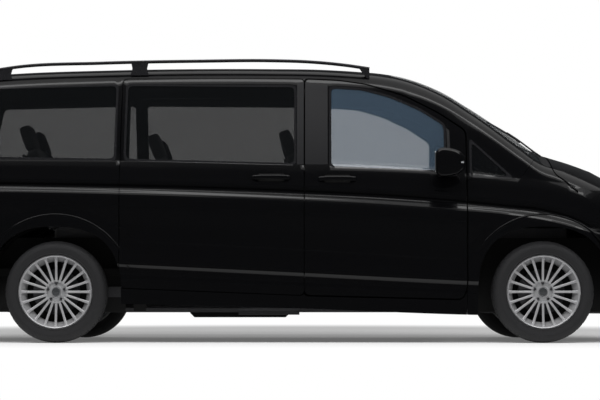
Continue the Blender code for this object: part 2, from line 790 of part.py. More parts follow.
def side_patch(name, depth, look, side, start, end, inset=0):
    """A panel-thick part of one side between two stations."""
    near, far = sorted((side * SIDE_INNER_SHARE * HALF_WIDTH, side * BODY_WIDTH))
    low = (station(start), near, 0)
    high = (station(end), far, BODY_HEIGHT + OVERRUN)
    return skin_patch(name, depth, look, low, high, inset)


def arch_zone(name, axle_x, side, grow, inner=SIDE_INNER_SHARE * HALF_WIDTH / 2):
    """The wheel arch's opening: a squarish half round, straight below the axle."""
    long = ARCH_HALF_LENGTH + grow
    tall = ARCH_HEIGHT + grow
    points = []
    for step in range(ARCH_STEPS + 1):
        angle = math.pi * step / ARCH_STEPS
        across = math.copysign(abs(math.cos(angle)) ** (2 / ARCH_POWER), math.cos(angle))
        up = math.sin(angle) ** (2 / ARCH_POWER)
        points.append((axle_x + long * across, TYRE_RADIUS + tall * up))
    points.append((axle_x - long, -OVERRUN))
    points.append((axle_x + long, -OVERRUN))
    ends = sorted((side * inner, side * (HALF_WIDTH + OVERRUN)))
    return prism(name, points, "Y", *ends)


def hung(obj, hinge):
    """Parents a moving piece to its hinge without moving it."""
    obj.parent = hinge
    obj.matrix_parent_inverse = Matrix.Translation(hinge.location).inverted()
    return obj


def hinge(name, location):
    """An empty on a joint's axis."""
    empty = bpy.data.objects.new(name, None)
    empty.location = location
    PIECES.objects.link(empty)
    return empty


def block(name, size, centre, look="plastic", rounding=0, turn=None):
    """A box, its edges rounded, turned about its centre."""
    bm = bmesh.new()
    bmesh.ops.create_cube(bm, size=1)
    bmesh.ops.scale(bm, vec=size, verts=bm.verts)
    if rounding:
        bmesh.ops.bevel(bm, geom=bm.edges[:], offset=rounding, segments=1, profile=.5, affect="EDGES")
    if turn is not None:
        bmesh.ops.rotate(bm, verts=bm.verts, matrix=turn, cent=(0, 0, 0))
    bmesh.ops.translate(bm, vec=centre, verts=bm.verts)
    mesh = bpy.data.meshes.new(name)
    bm.to_mesh(mesh)
    bm.free()
    return piece(name, mesh, look)


def rod(name, radius, start, end, look="steel", steps=ROUND_STEPS):
    """A round bar between two points."""
    start = Vector(start)
    end = Vector(end)
    span = end - start
    bm = bmesh.new()
    bmesh.ops.create_cone(bm, cap_ends=True, segments=steps, radius1=radius, radius2=radius,
                          depth=span.length)
    turn = Vector((0, 0, 1)).rotation_difference(span).to_matrix()
    bmesh.ops.rotate(bm, verts=bm.verts, matrix=turn, cent=(0, 0, 0))
    bmesh.ops.translate(bm, vec=(start + end) / 2, verts=bm.verts)
    mesh = bpy.data.meshes.new(name)
    bm.to_mesh(mesh)
    bm.free()
    return piece(name, mesh, look)


def turned(name, profile, steps, look, closed):
    """A solid turned about Y from a profile of radius and outward place."""
    bm = bmesh.new()
    verts = [bm.verts.new((radius, 0, along)) for radius, along in profile]
    for a, b in zip(verts, verts[1:]):
        bm.edges.new((a, b))
    if closed:
        bm.edges.new((verts[-1], verts[0]))
    mesh = bpy.data.meshes.new(name)
    bm.to_mesh(mesh)
    bm.free()
    obj = piece(name, mesh, look)
    screw = obj.modifiers.new("turn", "SCREW")
    screw.axis = "Z"
    screw.steps = steps
    screw.render_steps = steps
    screw.use_merge_vertices = True
    screw.merge_threshold = .0001
    screw.use_smooth_shade = False
    return settle(obj)


def stand(obj, side, centre):
    """Turns a wheel piece made about Z so that its outer face looks out to one side."""
    turn = Matrix.Rotation(side * -math.pi / 2, 4, "X")
    obj.data.transform(Matrix.Translation(centre) @ turn)
    return obj


# Sides, doors and their glass
def front_panels(side, tag):
    """The front door with its glass, mirror and handle, hung on its hinge."""
    half_gap = MOVING_GAP / 2
    door = side_patch("front_door_" + tag, DOOR_DEPTH, "paint", side, .44, .92)
    boolean(door, side_zone("door_form", FRONT_DOOR_SHARES, side, -half_gap), "INTERSECT")
    boolean(door, side_zone("door_window", FRONT_GLASS_SHARES, side, 0), "DIFFERENCE")
    glass = side_patch("front_door_glass_" + tag, GLASS_DEPTH, "glass", side, .50, .86, GLASS_RECESS)
    boolean(glass, side_zone("door_pane", FRONT_GLASS_SHARES, side, -SEAT_GAP), "INTERSECT")
    union(door, door_handle("front_handle", side, FRONT_HANDLE_STATION_SHARE))
    mirror = door_mirror(side, tag)
    pivot = hinge("front_door_hinge_" + tag, front_hinge_point(side))
    for obj in (door, glass, mirror):
        hung(obj, pivot)


def front_hinge_point(side):
    """The front door's hinge: on its front edge, at the hip, just outside the skin."""
    x = station(FRONT_DOOR_SHARES[3][0]) - MOVING_GAP / 2
    z = float(hip_line(x))
    return (x, side * (float(side_half_width(x, z)) + HIP_TOUCH), z)


def door_handle(name, side, place_share):
    """A bar handle that stands off the door on two feet."""
    x = station(place_share)
    z = HANDLE_HEIGHT_SHARE * BODY_HEIGHT
    skin = float(side_half_width(x, z))
    reach = skin + HANDLE_REACH - HANDLE_HEIGHT / 2
    grip = block(name, (HANDLE_LENGTH, HANDLE_HEIGHT / 2, HANDLE_HEIGHT), (x, side * reach, z),
                 "paint")
    depth = HANDLE_REACH + DOOR_DEPTH / 2
    for end in (-1, 1):
        foot_x = x + end * (HANDLE_LENGTH - HANDLE_FOOT) / 2
        foot_y = side * (reach + HANDLE_HEIGHT / 4 - depth / 2 - SEAT_GAP)
        union(grip, block(name + "_foot", (HANDLE_FOOT - SEAT_GAP, depth, HANDLE_HEIGHT / 2),
                          (foot_x, foot_y, z)))
    return settle(grip)


def door_mirror(side, tag):
    """The mirror's housing with the arm that carries it on the door."""
    low_x, high_x = (station(share) for share in MIRROR_STATION_SHARES)
    low_z, high_z = (share * BODY_HEIGHT for share in MIRROR_HEIGHT_SHARES)
    x = (low_x + high_x) / 2
    z = (low_z + high_z) / 2
    skin = float(side_half_width(x, z))
    inner = skin + MIRROR_ROOT
    size = (high_x - low_x, MIRROR_REACH - inner, high_z - low_z)
    housing = block("mirror_" + tag, size, (x, side * (MIRROR_REACH + inner) / 2, z), "paint",
                    MIRROR_ROUNDING)
    arm_z = low_z + MIRROR_ARM_SIZE
    arm_skin = float(side_half_width(x, arm_z)) - DOOR_DEPTH / 2
    arm_end = inner + MIRROR_ROUNDING * 2
    arm = block("mirror_arm", (MIRROR_ARM_SIZE * 2, arm_end - arm_skin, MIRROR_ARM_SIZE),
                (x, side * (arm_end + arm_skin) / 2, arm_z))
    union(housing, arm)
    return boolean(housing, side_seat("mirror_seat", side, .6, .95), "DIFFERENCE")


def side_seat(name, side, start, end):
    """The space that a side's skin and frame fill, for what seats on it."""
    return side_patch(name, WALL_DEPTH + 2 * SEAT_GAP, "plastic", side, start, end, -SEAT_GAP)


def wall_seats(side):
    """The space of one whole side wall, outer panel and inner frame, for what seats inside it."""
    yield side_patch("outer_wall", SIDE_DEPTH + 2 * SEAT_GAP, "plastic", side, -1.1, .95)
    yield side_patch("inner_wall", PILLAR_DEPTH + 2 * SEAT_GAP, "plastic", side, -1.1, .95,
                     DOOR_DEPTH + SEAT_GAP)


def sliding_panels(side, tag):
    """The sliding door and its glass, closed."""
    half_gap = SHUT_GAP / 2
    door = side_patch("sliding_door_" + tag, DOOR_DEPTH, "paint", side, .05, .58)
    boolean(door, side_zone("slide_form", SLIDING_DOOR_SHARES, side, -half_gap), "INTERSECT")
    boolean(door, side_zone("slide_window", SLIDING_GLASS_SHARES, side, 0), "DIFFERENCE")
    boolean(door, arch_zone("slide_arch", REAR_AXLE_X, side, PANEL_GAP), "DIFFERENCE")
    union(door, door_handle("sliding_handle", side, SLIDING_HANDLE_STATION_SHARE))
    glass = side_patch("sliding_door_glass_" + tag, GLASS_DEPTH, "glass", side, .06, .56, GLASS_RECESS)
    boolean(glass, side_zone("slide_pane", SLIDING_GLASS_SHARES, side, -SEAT_GAP), "INTERSECT")


def body_side(side, tag):
    """Pillars, cantrail, sill and rear quarter of one side, with the inner frame the doors seat on."""
    panel = side_patch("body_side_" + tag, SIDE_DEPTH, "paint", side, -1.1, 1.2)
    doors = (("front", FRONT_DOOR_SHARES, MOVING_GAP), ("slide", SLIDING_DOOR_SHARES, SHUT_GAP))
    for name, shares, gap in doors:
        boolean(panel, side_zone(name + "_hole", shares, side, gap / 2), "DIFFERENCE")
    settle(panel)
    frame = side_patch("body_frame", PILLAR_DEPTH, "paint", side, -.60, .95, DOOR_DEPTH + SEAT_GAP)
    boolean(frame, side_zone("frame_form", FRAME_SHARES, side, 0), "INTERSECT")
    for name, shares, _ in doors:
        boolean(frame, side_zone(name + "_aperture", shares, side, -PILLAR_FLANGE), "DIFFERENCE")
    union(panel, settle(frame))
    for cutter in side_cutters(side):
        boolean(panel, cutter, "DIFFERENCE")
    return panel


def side_cutters(side):
    """What the fixed side leaves room for."""
    half_gap = PANEL_GAP / 2
    yield plan_zone("side_roof", ROOF_SHARES, half_gap)
    yield plan_zone("side_windscreen", WINDSCREEN_SHARES, half_gap)
    yield plan_zone("side_scuttle", SCUTTLE_SHARES, half_gap)
    yield plan_zone("side_bonnet", BONNET_SHARES, MOVING_GAP / 2)
    yield rear_zone("side_tailgate", TAILGATE_SHARES, MOVING_GAP / 2)
    yield side_zone("side_fender", FENDER_SHARES, side, half_gap)
    yield side_zone("side_bumper", REAR_BUMPER_SHARES, side, half_gap)
    yield side_zone("side_lamp", TAIL_LAMP_SHARES, side, half_gap)
    yield side_zone("side_quarter", REAR_QUARTER_GLASS_SHARES, side, 0)
    yield side_zone("side_triangle", FRONT_QUARTER_GLASS_SHARES, side, 0)
    yield arch_zone("side_rear_arch", REAR_AXLE_X, side, 0)
    yield arch_zone("side_front_arch", FRONT_AXLE_X, side, 0)


def quarter_glasses(side, tag):
    """The fixed panes behind the sliding door and ahead of the front door."""
    rear = side_patch("rear_quarter_glass_" + tag, GLASS_DEPTH, "glass", side, -1, .25, GLASS_RECESS)
    boolean(rear, side_zone("rear_pane", REAR_QUARTER_GLASS_SHARES, side, -SEAT_GAP), "INTERSECT")
    front = side_patch("front_quarter_glass_" + tag, GLASS_DEPTH, "glass", side, .78, 1.1, GLASS_RECESS)
    boolean(front, side_zone("front_pane", FRONT_QUARTER_GLASS_SHARES, side, -SEAT_GAP), "INTERSECT")


def fender(side, tag):
    """The front wing, from the door to the headlamp, over its wheel arch."""
    wing = side_patch("fender_" + tag, FENDER_DEPTH, "paint", side, .78, 1.95)
    half_gap = PANEL_GAP / 2
    boolean(wing, side_zone("wing_form", FENDER_SHARES, side, -half_gap), "INTERSECT")
    boolean(wing, side_zone("wing_door", FRONT_DOOR_SHARES, side, MOVING_GAP / 2), "DIFFERENCE")
    boolean(wing, side_zone("wing_lamp", HEADLAMP_SHARES, side, half_gap), "DIFFERENCE")
    boolean(wing, plan_zone("wing_bonnet", BONNET_SHARES, MOVING_GAP / 2), "DIFFERENCE")
    boolean(wing, plan_zone("wing_scuttle", SCUTTLE_SHARES, half_gap), "DIFFERENCE")
    boolean(wing, plan_zone("wing_screen", WINDSCREEN_SHARES, half_gap), "DIFFERENCE")
    boolean(wing, arch_zone("wing_arch", FRONT_AXLE_X, side, 0), "DIFFERENCE")


# Roof, windscreen, bonnet and ends
def across_zone(name, shares, grow):
    """A prism across the whole width from a side-view outline."""
    points = rounded(grown(side_outline(shares), grow), CORNER_RADIUS)
    reach = HALF_WIDTH + OVERRUN
    return prism(name, points, "Y", -reach, reach)


def end_patch(name, depth, look, start, end, low_z, inset=0):
    """A panel-thick part of the skin over the whole width between two stations."""
    low = (station(start), -BODY_WIDTH, low_z)
    high = (station(end), BODY_WIDTH, BODY_HEIGHT + OVERRUN)
    return skin_patch(name, depth, look, low, high, inset)


def roof():
    """The roof's panel between the cantrails."""
    panel = end_patch("roof_panel", ROOF_DEPTH, "paint", -1, .85, ROOF_LOW_SHARE * BODY_HEIGHT)
    boolean(panel, plan_zone("roof_form", ROOF_SHARES, -PANEL_GAP / 2), "INTERSECT")
    boolean(panel, plan_zone("roof_screen", WINDSCREEN_SHARES, PANEL_GAP / 2), "DIFFERENCE")


def windscreen_and_scuttle():
    """The windscreen, and the plastic panel below it."""
    low_z = SHOULDER_LINE_SHARES[0][1] * BODY_HEIGHT
    screen = end_patch("windscreen", GLASS_DEPTH, "glass", .5, 1.2, low_z)
    boolean(screen, plan_zone("screen_form", WINDSCREEN_SHARES, -PANEL_GAP / 2), "INTERSECT")
    cowl = end_patch("scuttle", SCUTTLE_DEPTH, "plastic", .8, 1.3, low_z)
    boolean(cowl, plan_zone("cowl_form", SCUTTLE_SHARES, -PANEL_GAP / 2), "INTERSECT")
    boolean(cowl, plan_zone("cowl_screen", WINDSCREEN_SHARES, PANEL_GAP / 2), "DIFFERENCE")


def bonnet():
    """The bonnet, hung at its rear edge."""
    panel = end_patch("bonnet", BONNET_DEPTH, "paint", .95, 2.1, HIP_LINE_SHARES[-1][1] * BODY_HEIGHT)
    boolean(panel, plan_zone("bonnet_form", BONNET_SHARES, -MOVING_GAP / 2), "INTERSECT")
    x = station(BONNET_SHARES[0][0]) + MOVING_GAP / 2
    hung(panel, hinge("bonnet_hinge", (x, 0, float(top_line(x)))))


def tailgate():
    """The tailgate and its window, hung at the end of the roof."""
    low_z = CREASE_LINE_SHARES[0][1] * BODY_HEIGHT
    gate = end_patch("tailgate", TAILGATE_DEPTH, "paint", -1.1, -.5, low_z)
    boolean(gate, rear_zone("gate_form", TAILGATE_SHARES, -MOVING_GAP / 2), "INTERSECT")
    boolean(gate, across_zone("gate_side", TAILGATE_SIDE_SHARES, -MOVING_GAP), "INTERSECT")
    boolean(gate, rear_zone("gate_window", REAR_WINDOW_SHARES, 0), "DIFFERENCE")
    plate = block("plate_seat", (PLATE_DEPTH * 2, PLATE_LENGTH, PLATE_HEIGHT),
                  (float(tail_reach(0, PLATE_Z)), 0, PLATE_Z))
    union(gate, plate)
    pane = end_patch("rear_window", GLASS_DEPTH, "glass", -1.1, -.6, low_z, GLASS_RECESS)
    boolean(pane, rear_zone("gate_pane", REAR_WINDOW_SHARES, -SEAT_GAP), "INTERSECT")
    x = station(ROOF_SHARES[0][0])
    pivot = hinge("tailgate_hinge", (x, 0, float(top_line(x))))
    hung(gate, pivot)
    hung(pane, pivot)


def bumpers():
    """Front and rear bumpers, with the intake's opening."""
    low_z = 0
    half_gap = PANEL_GAP / 2
    front = end_patch("front_bumper", BUMPER_DEPTH, "paint", 1.1, 2.1, low_z)
    boolean(front, across_zone("bumper_form", FRONT_BUMPER_SHARES, -half_gap), "INTERSECT")
    intake = block("intake", (INTAKE_REACH, 2 * INTAKE_HALF_WIDTH, INTAKE_TOP - INTAKE_BOTTOM),
                   (NOSE_X, 0, (INTAKE_TOP + INTAKE_BOTTOM) / 2), rounding=CORNER_RADIUS)
    boolean(front, intake, "DIFFERENCE")
    rear = end_patch("rear_bumper", BUMPER_DEPTH, "paint", -1.1, -.1, low_z)
    boolean(rear, across_zone("rear_form", REAR_BUMPER_SHARES, -half_gap), "INTERSECT")
    gate_low = TAILGATE_SIDE_SHARES[0][1] * BODY_HEIGHT + MOVING_GAP - SEAT_GAP
    for side in (-1, 1):
        boolean(front, arch_zone("bumper_arch", FRONT_AXLE_X, side, 0), "DIFFERENCE")
        boolean(rear, arch_zone("rear_bumper_arch", REAR_AXLE_X, side, 0), "DIFFERENCE")
        x = float(tail_reach(BUFFER_Y, gate_low)) + BUMPER_DEPTH / 2
        buffer = block("gate_buffer", (BUFFER_LENGTH, BUFFER_WIDTH, BUFFER_HEIGHT),
                       (x, side * BUFFER_Y, gate_low - BUFFER_HEIGHT / 2))
        union(rear, buffer)


def lamps(side, tag):
    """Headlamp and tail lamp of one side, as solid lenses."""
    half_gap = PANEL_GAP / 2
    lamp = side_patch("headlamp_" + tag, LAMP_DEPTH, "lamp", side, 1.1, 2.1)
    inner = GRILLE_WIDTH_SHARE * HALF_WIDTH + half_gap
    boolean(lamp, side_zone("lamp_form", HEADLAMP_SHARES, side, -half_gap, inner=inner), "INTERSECT")
    boolean(lamp, plan_zone("lamp_bonnet", BONNET_SHARES, MOVING_GAP / 2), "DIFFERENCE")
    tail = side_patch("tail_lamp_" + tag, LAMP_DEPTH, "red_lamp", side, -1.1, -.4)
    boolean(tail, side_zone("tail_form", TAIL_LAMP_SHARES, side, -half_gap), "INTERSECT")
    boolean(tail, rear_zone("tail_gate", TAILGATE_SHARES, MOVING_GAP / 2), "DIFFERENCE")


def grille():
    """The upper grille between the headlamps: bars that follow the nose."""
    low_z = CREASE_LINE_SHARES[0][1] * BODY_HEIGHT
    panel = end_patch("grille", GRILLE_DEPTH, "trim", 1.3, 2.1, low_z)
    half_width = GRILLE_WIDTH_SHARE * HALF_WIDTH - PANEL_GAP / 2
    low = FRONT_BUMPER_SHARES[2][1] * BODY_HEIGHT + PANEL_GAP / 2
    form = block("grille_form", (LENGTH, 2 * half_width, BODY_HEIGHT),
                 (LENGTH / 2, 0, low + BODY_HEIGHT / 2))
    boolean(panel, form, "INTERSECT")
    boolean(panel, plan_zone("grille_bonnet", BONNET_SHARES, MOVING_GAP / 2), "DIFFERENCE")
    pitch = (GRILLE_TOP - low) / GRILLE_SLOTS
    for i in range(GRILLE_SLOTS):
        slot = block("grille_slot", (LENGTH, 2 * (half_width - GRILLE_BORDER), pitch - GRILLE_BAR),
                     (LENGTH / 2, 0, low + pitch * (i + .5) + GRILLE_BAR / 2))
        boolean(panel, slot, "DIFFERENCE")


# Wheels
def tyre(name, side, centre):
    """A tyre turned from its section, with a plain tread."""
    half = TYRE_WIDTH / 2
    profile = []
    bead = RIM_LIP_RADIUS + SEAT_GAP
    seats = ((bead, RIM_HALF_WIDTH), (bead + RIM_WALL, half - RIM_WALL / 2))
    bulge = (bead + TYRE_RADIUS) / 2
    shoulder = TYRE_RADIUS - SHOULDER_RADIUS
    edge = half - SHOULDER_SIDE_SHARE * SHOULDER_RADIUS
    crown = (TYRE_RADIUS - TREAD_CROWN, half - SHOULDER_RADIUS)
    upper = list(seats) + [(bulge, half), (shoulder, edge), crown]
    for radius, along in upper:
        profile.append((radius, along))
    flat = TREAD_FLAT_SHARE * half
    profile.append((TYRE_RADIUS, flat))
    profile.append((TYRE_RADIUS, -flat))
    for radius, along in reversed(upper):
        profile.append((radius, -along))
    return stand(turned(name, profile, TYRE_STEPS, "rubber", True), side, centre)


def rim(name, side, centre):
    """A wheel: barrel, face of thin spokes, hub, and the brake disc that turns with it."""
    half = RIM_HALF_WIDTH
    lip = RIM_LIP_RADIUS
    well = RIM_WELL_RADIUS
    drop = RIM_WELL_SHARE * half
    profile = (
        (lip, half), (well, drop), (lip, -half), (lip - RIM_WALL, -half),
        (well - RIM_WALL, drop), (lip - RIM_WALL, half))
    barrel = stand(turned(name, profile, TYRE_STEPS, "alloy", True), side, centre)
    face_y = centre[1] + side * (half - RIM_FACE_INSET)
    points = spoke_outline(centre)
    face = prism(name + "_spokes", points, "Y", *sorted((face_y, face_y - side * SPOKE_DEPTH)))
    core_start = (centre[0], face_y - side * SPOKE_DEPTH / 2, centre[2])
    core_end = (centre[0], side * DISC_FACE_Y, centre[2])
    core = rod(name + "_core", HUB_CORE_RADIUS, core_start, core_end)
    disc_inner = (centre[0], side * (DISC_FACE_Y - DISC_DEPTH), centre[2])
    disc_outer = (centre[0], side * (DISC_FACE_Y + SEAT_GAP), centre[2])
    disc = rod(name + "_disc", DISC_RADIUS, disc_outer, disc_inner)
    cap_end = (centre[0], face_y + side * CAP_DEPTH, centre[2])
    cap = rod(name + "_cap", CAP_RADIUS, core_start, cap_end)
    return flattened(union(barrel, face, core, disc, cap))


def spoke_outline(centre):
    """The wheel's face: spokes that taper out from the hub into the barrel."""
    points = []
    pitch = 2 * math.pi / SPOKES
    reach = RIM_LIP_RADIUS - RIM_WALL
    for i in range(SPOKES):
        for radius, share in ((HUB_RADIUS, -SPOKE_FOOT_SHARE), (reach, -SPOKE_TIP_SHARE),
                              (reach, SPOKE_TIP_SHARE), (HUB_RADIUS, SPOKE_FOOT_SHARE)):
            angle = pitch * (i + share / 2)
            points.append((centre[0] + radius * math.cos(angle), centre[2] + radius * math.sin(angle)))
    return points


def wheels():
    """Four wheels, each tyre and rim hung on its own axle empty; the front ones on the knuckles."""
    for tag, side in (("right", -1), ("left", 1)):
        kingpin = hinge("kingpin_" + tag, (FRONT_AXLE_X, side * KINGPIN_Y, TYRE_RADIUS))
        hung(knuckle(tag, side), kingpin)
        for end, x in (("front", FRONT_AXLE_X), ("rear", REAR_AXLE_X)):
            centre = (x, side * TRACK / 2, TYRE_RADIUS)
            axle = hinge("axle_%s_%s" % (end, tag), centre)
            for obj in (tyre("tyre_%s_%s" % (end, tag), side, centre),
                        rim("rim_%s_%s" % (end, tag), side, centre)):
                hung(obj, axle)


# Running gear
def knuckle(tag, side):
    """The front knuckle: an upright with the stub that carries its wheel."""
    disc_inner = DISC_FACE_Y - DISC_DEPTH - SEAT_GAP
    upright = block("knuckle_" + tag, (KNUCKLE_LENGTH, KNUCKLE_WIDTH, KNUCKLE_HEIGHT),
                    (FRONT_AXLE_X, side * KINGPIN_Y, TYRE_RADIUS), "steel", KNUCKLE_ROUNDING)
    stub = rod("stub", HUB_CORE_RADIUS, (FRONT_AXLE_X, side * disc_inner, TYRE_RADIUS),
               (FRONT_AXLE_X, side * KINGPIN_Y, TYRE_RADIUS))
    return union(upright, stub)


def subframe():
    """The front subframe with its lower arms."""
    z = SUBFRAME_BOTTOM + SUBFRAME_HEIGHT / 2
    frame = block("front_subframe", (SUBFRAME_LENGTH, 2 * SUBFRAME_HALF_WIDTH, SUBFRAME_HEIGHT),
                  (FRONT_AXLE_X, 0, z), "steel")
    hollow = block("subframe_hole", (SUBFRAME_LENGTH - 2 * SUBFRAME_RAIL,
                                     2 * (SUBFRAME_HALF_WIDTH - SUBFRAME_RAIL), BODY_HEIGHT),
                   (FRONT_AXLE_X, 0, z))
    boolean(frame, hollow, "DIFFERENCE")
    ball_z = TYRE_RADIUS - KNUCKLE_HEIGHT / 2 - SEAT_GAP
    for side in (-1, 1):
        start = SUBFRAME_HALF_WIDTH - SUBFRAME_RAIL / 2
        arm_top = ball_z - KNUCKLE_CLEARANCE
        arm = block("lower_arm", (ARM_WIDTH, KINGPIN_Y + BALL_RADIUS - start, ARM_HEIGHT),
                    (FRONT_AXLE_X, side * (KINGPIN_Y + BALL_RADIUS + start) / 2, arm_top - ARM_HEIGHT / 2))
        pin = rod("ball_joint", BALL_RADIUS, (FRONT_AXLE_X, side * KINGPIN_Y, arm_top - ARM_HEIGHT / 2),
                  (FRONT_AXLE_X, side * KINGPIN_Y, ball_z))
        riser = block("arm_riser", (ARM_WIDTH, SUBFRAME_RAIL, SUBFRAME_HEIGHT + ARM_HEIGHT),
                      (FRONT_AXLE_X, side * (SUBFRAME_HALF_WIDTH - SUBFRAME_RAIL / 2 - SEAT_GAP),
                       SUBFRAME_BOTTOM + SUBFRAME_HEIGHT / 2 - ARM_HEIGHT / 2))
        post = block("subframe_post",
                     (SUBFRAME_RAIL, CHASSIS_LEG_WIDTH / 2, CHASSIS_LEG_BOTTOM - z - SEAT_GAP),
                     (FRONT_AXLE_X + SUBFRAME_LENGTH / 2 - SUBFRAME_RAIL / 2 - SEAT_GAP,
                      side * SUBFRAME_HALF_WIDTH,
                      (CHASSIS_LEG_BOTTOM + z - SEAT_GAP) / 2))
        union(frame, riser, arm, pin, post)
    flattened(frame)


def rear_axle():
    """The rear beam axle with its trailing arms and the carriers of the wheels."""
    carrier_y = DISC_FACE_Y - DISC_DEPTH - SEAT_GAP
    beam_x = REAR_AXLE_X + BEAM_LEAD
    beam = rod("rear_axle", BEAM_RADIUS, (beam_x, -TRAILING_ARM_Y, TYRE_RADIUS),
               (beam_x, TRAILING_ARM_Y, TYRE_RADIUS))
    for side in (-1, 1):
        arm_end = REAR_AXLE_X + WHEEL_CLEARANCE - SEAT_GAP
        arm_length = arm_end - REAR_AXLE_X + BEAM_RADIUS
        arm_x = arm_end - arm_length / 2
        arm = block("trailing_arm", (arm_length, TRAILING_ARM_WIDTH, TRAILING_ARM_HEIGHT),
                    (arm_x, side * TRAILING_ARM_Y, TYRE_RADIUS))
        carrier = rod("rear_carrier", HUB_CORE_RADIUS, (REAR_AXLE_X, side * TRAILING_ARM_Y, TYRE_RADIUS),
                      (REAR_AXLE_X, side * carrier_y, TYRE_RADIUS))
        union(beam, arm, carrier)
    flattened(beam)


def engine_and_exhaust():
    """The engine as one plain block, the fuel tank and the exhaust."""
    block("engine", (ENGINE_LENGTH, ENGINE_WIDTH, ENGINE_HEIGHT),
          (ENGINE_X, 0, SUBFRAME_BOTTOM + SUBFRAME_HEIGHT + SEAT_GAP + ENGINE_HEIGHT / 2), "steel")
    block("fuel_tank", (TANK_LENGTH, TANK_WIDTH, TANK_HEIGHT),
          (TANK_X, TANK_Y, FLOOR_BOTTOM - SEAT_GAP - TANK_HEIGHT / 2), "plastic", SEAT_ROUNDING)
    pipe_end = REAR_AXLE_X - SILENCER_LENGTH
    z = FLOOR_BOTTOM - SILENCER_RADIUS
    pipe = rod("exhaust", EXHAUST_RADIUS, (FLOOR_FRONT_X - FLOOR_WAIST / 2, EXHAUST_Y, z),
               (pipe_end, EXHAUST_Y, z), "steel", ROUND_STEPS // 2)
    low_z = z - SEAT_GAP
    silencer = rod("silencer", SILENCER_RADIUS, (TANK_X + SILENCER_LENGTH, EXHAUST_Y, low_z),
                   (TANK_X, EXHAUST_Y, low_z))
    union(pipe, silencer)


def floor():
    """The floor pan with bulkhead, chassis legs, arch liners and jacking pads."""
    front_waist = FRONT_AXLE_X - WHEEL_CLEARANCE
    rear_ahead = REAR_AXLE_X + WHEEL_CLEARANCE
    rear_behind = REAR_AXLE_X - WHEEL_CLEARANCE
    rear_width = FLOOR_HALF_WIDTH * REAR_FLOOR_WIDTH_SHARE
    half = [
        (FLOOR_REAR_X, -rear_width), (rear_behind, -rear_width), (rear_behind, -FLOOR_WAIST),
        (rear_ahead + FLOOR_DEPTH / 2, -FLOOR_WAIST)]
    points = half + [(x, -y) for x, y in reversed(half)]
    raised = FLOOR_BOTTOM + REAR_FLOOR_RISE
    rear_pan = release(prism("rear_floor_outline", points, "Z", raised, raised + FLOOR_DEPTH),
                       "rear_floor", "plastic")
    front_end = min(front_waist, FLOOR_FRONT_X)
    pan = block("floor_pan", (front_end - rear_ahead, 2 * FLOOR_HALF_WIDTH, FLOOR_DEPTH),
                ((front_end + rear_ahead) / 2, 0, FLOOR_BOTTOM + FLOOR_DEPTH / 2))
    riser_height = REAR_FLOOR_RISE + FLOOR_DEPTH
    riser = block("floor_riser", (FLOOR_DEPTH, 2 * FLOOR_HALF_WIDTH - SEAT_GAP, riser_height - SEAT_GAP),
                  (rear_ahead + FLOOR_DEPTH / 2 + SEAT_GAP, 0, FLOOR_BOTTOM + riser_height / 2))
    union(pan, riser, rear_pan)
    bulkhead_z = (BULKHEAD_TOP + FLOOR_BOTTOM) / 2
    bulkhead_height = BULKHEAD_TOP - FLOOR_BOTTOM - SEAT_GAP
    bulkhead = block("bulkhead", (BULKHEAD_DEPTH, 2 * BULKHEAD_HALF_WIDTH, bulkhead_height),
                     (FLOOR_FRONT_X, 0, bulkhead_z))
    union(pan, bulkhead)
    leg_z = CHASSIS_LEG_BOTTOM + CHASSIS_LEG_HEIGHT / 2
    for side in (-1, 1):
        leg_length = CHASSIS_LEG_FRONT_X - FLOOR_FRONT_X
        leg = block("chassis_leg", (leg_length, CHASSIS_LEG_WIDTH, CHASSIS_LEG_HEIGHT),
                    (FLOOR_FRONT_X + leg_length / 2, side * CHASSIS_LEG_Y, leg_z))
        pads = [block("jack_pad", (JACK_PAD_LENGTH, JACK_PAD_WIDTH, JACK_PAD_HEIGHT + SEAT_GAP),
                      (x, side * JACK_PAD_Y, FLOOR_BOTTOM - JACK_PAD_HEIGHT / 2 + SEAT_GAP))
                for x in (REAR_AXLE_X + JACK_PAD_INSET, FRONT_AXLE_X - JACK_PAD_INSET)]
        liner = arch_liner("rear_liner", REAR_AXLE_X, side, REAR_LINER_INNER_Y)
        union(pan, leg, *pads, liner)
    for side in (-1, 1):
        for cutter in wall_seats(side):
            boolean(pan, cutter, "DIFFERENCE")
    settle(pan)
    cross = block("crossmember", (CROSSMEMBER_LENGTH, 2 * CHASSIS_LEG_Y, CHASSIS_LEG_HEIGHT - SEAT_GAP),
                  (CHASSIS_LEG_FRONT_X - CROSSMEMBER_LENGTH, 0, leg_z))
    flattened(union(pan, cross))


def release(cutter, name, look):
    """Takes an outline's solid out of the cutters as a part."""
    mesh = cutter.data
    bpy.data.objects.remove(cutter)
    return piece(name, mesh, look)


def arch_liner(name, axle_x, side, inner_y):
    """The liner over a wheel: a tunnel that follows the arch's opening."""
    outer_y = HALF_WIDTH - LINER_OUTER_INSET
    liner = arch_zone(name, axle_x, side, LINER_RIM, inner_y)
    hollow = arch_zone(name + "_hollow", axle_x, side, LINER_GAP)
    trim = block(name + "_trim", (LENGTH, BODY_WIDTH, BODY_HEIGHT),
                 (0, side * (outer_y + HALF_WIDTH), BODY_HEIGHT / 2))
    foot = block(name + "_foot", (LENGTH, BODY_WIDTH * 2, LINER_BOTTOM + OVERRUN),
                 (0, 0, (LINER_BOTTOM - OVERRUN) / 2))
    for cutter in (hollow, trim, foot):
        boolean(liner, cutter, "DIFFERENCE")
    return settle(liner)


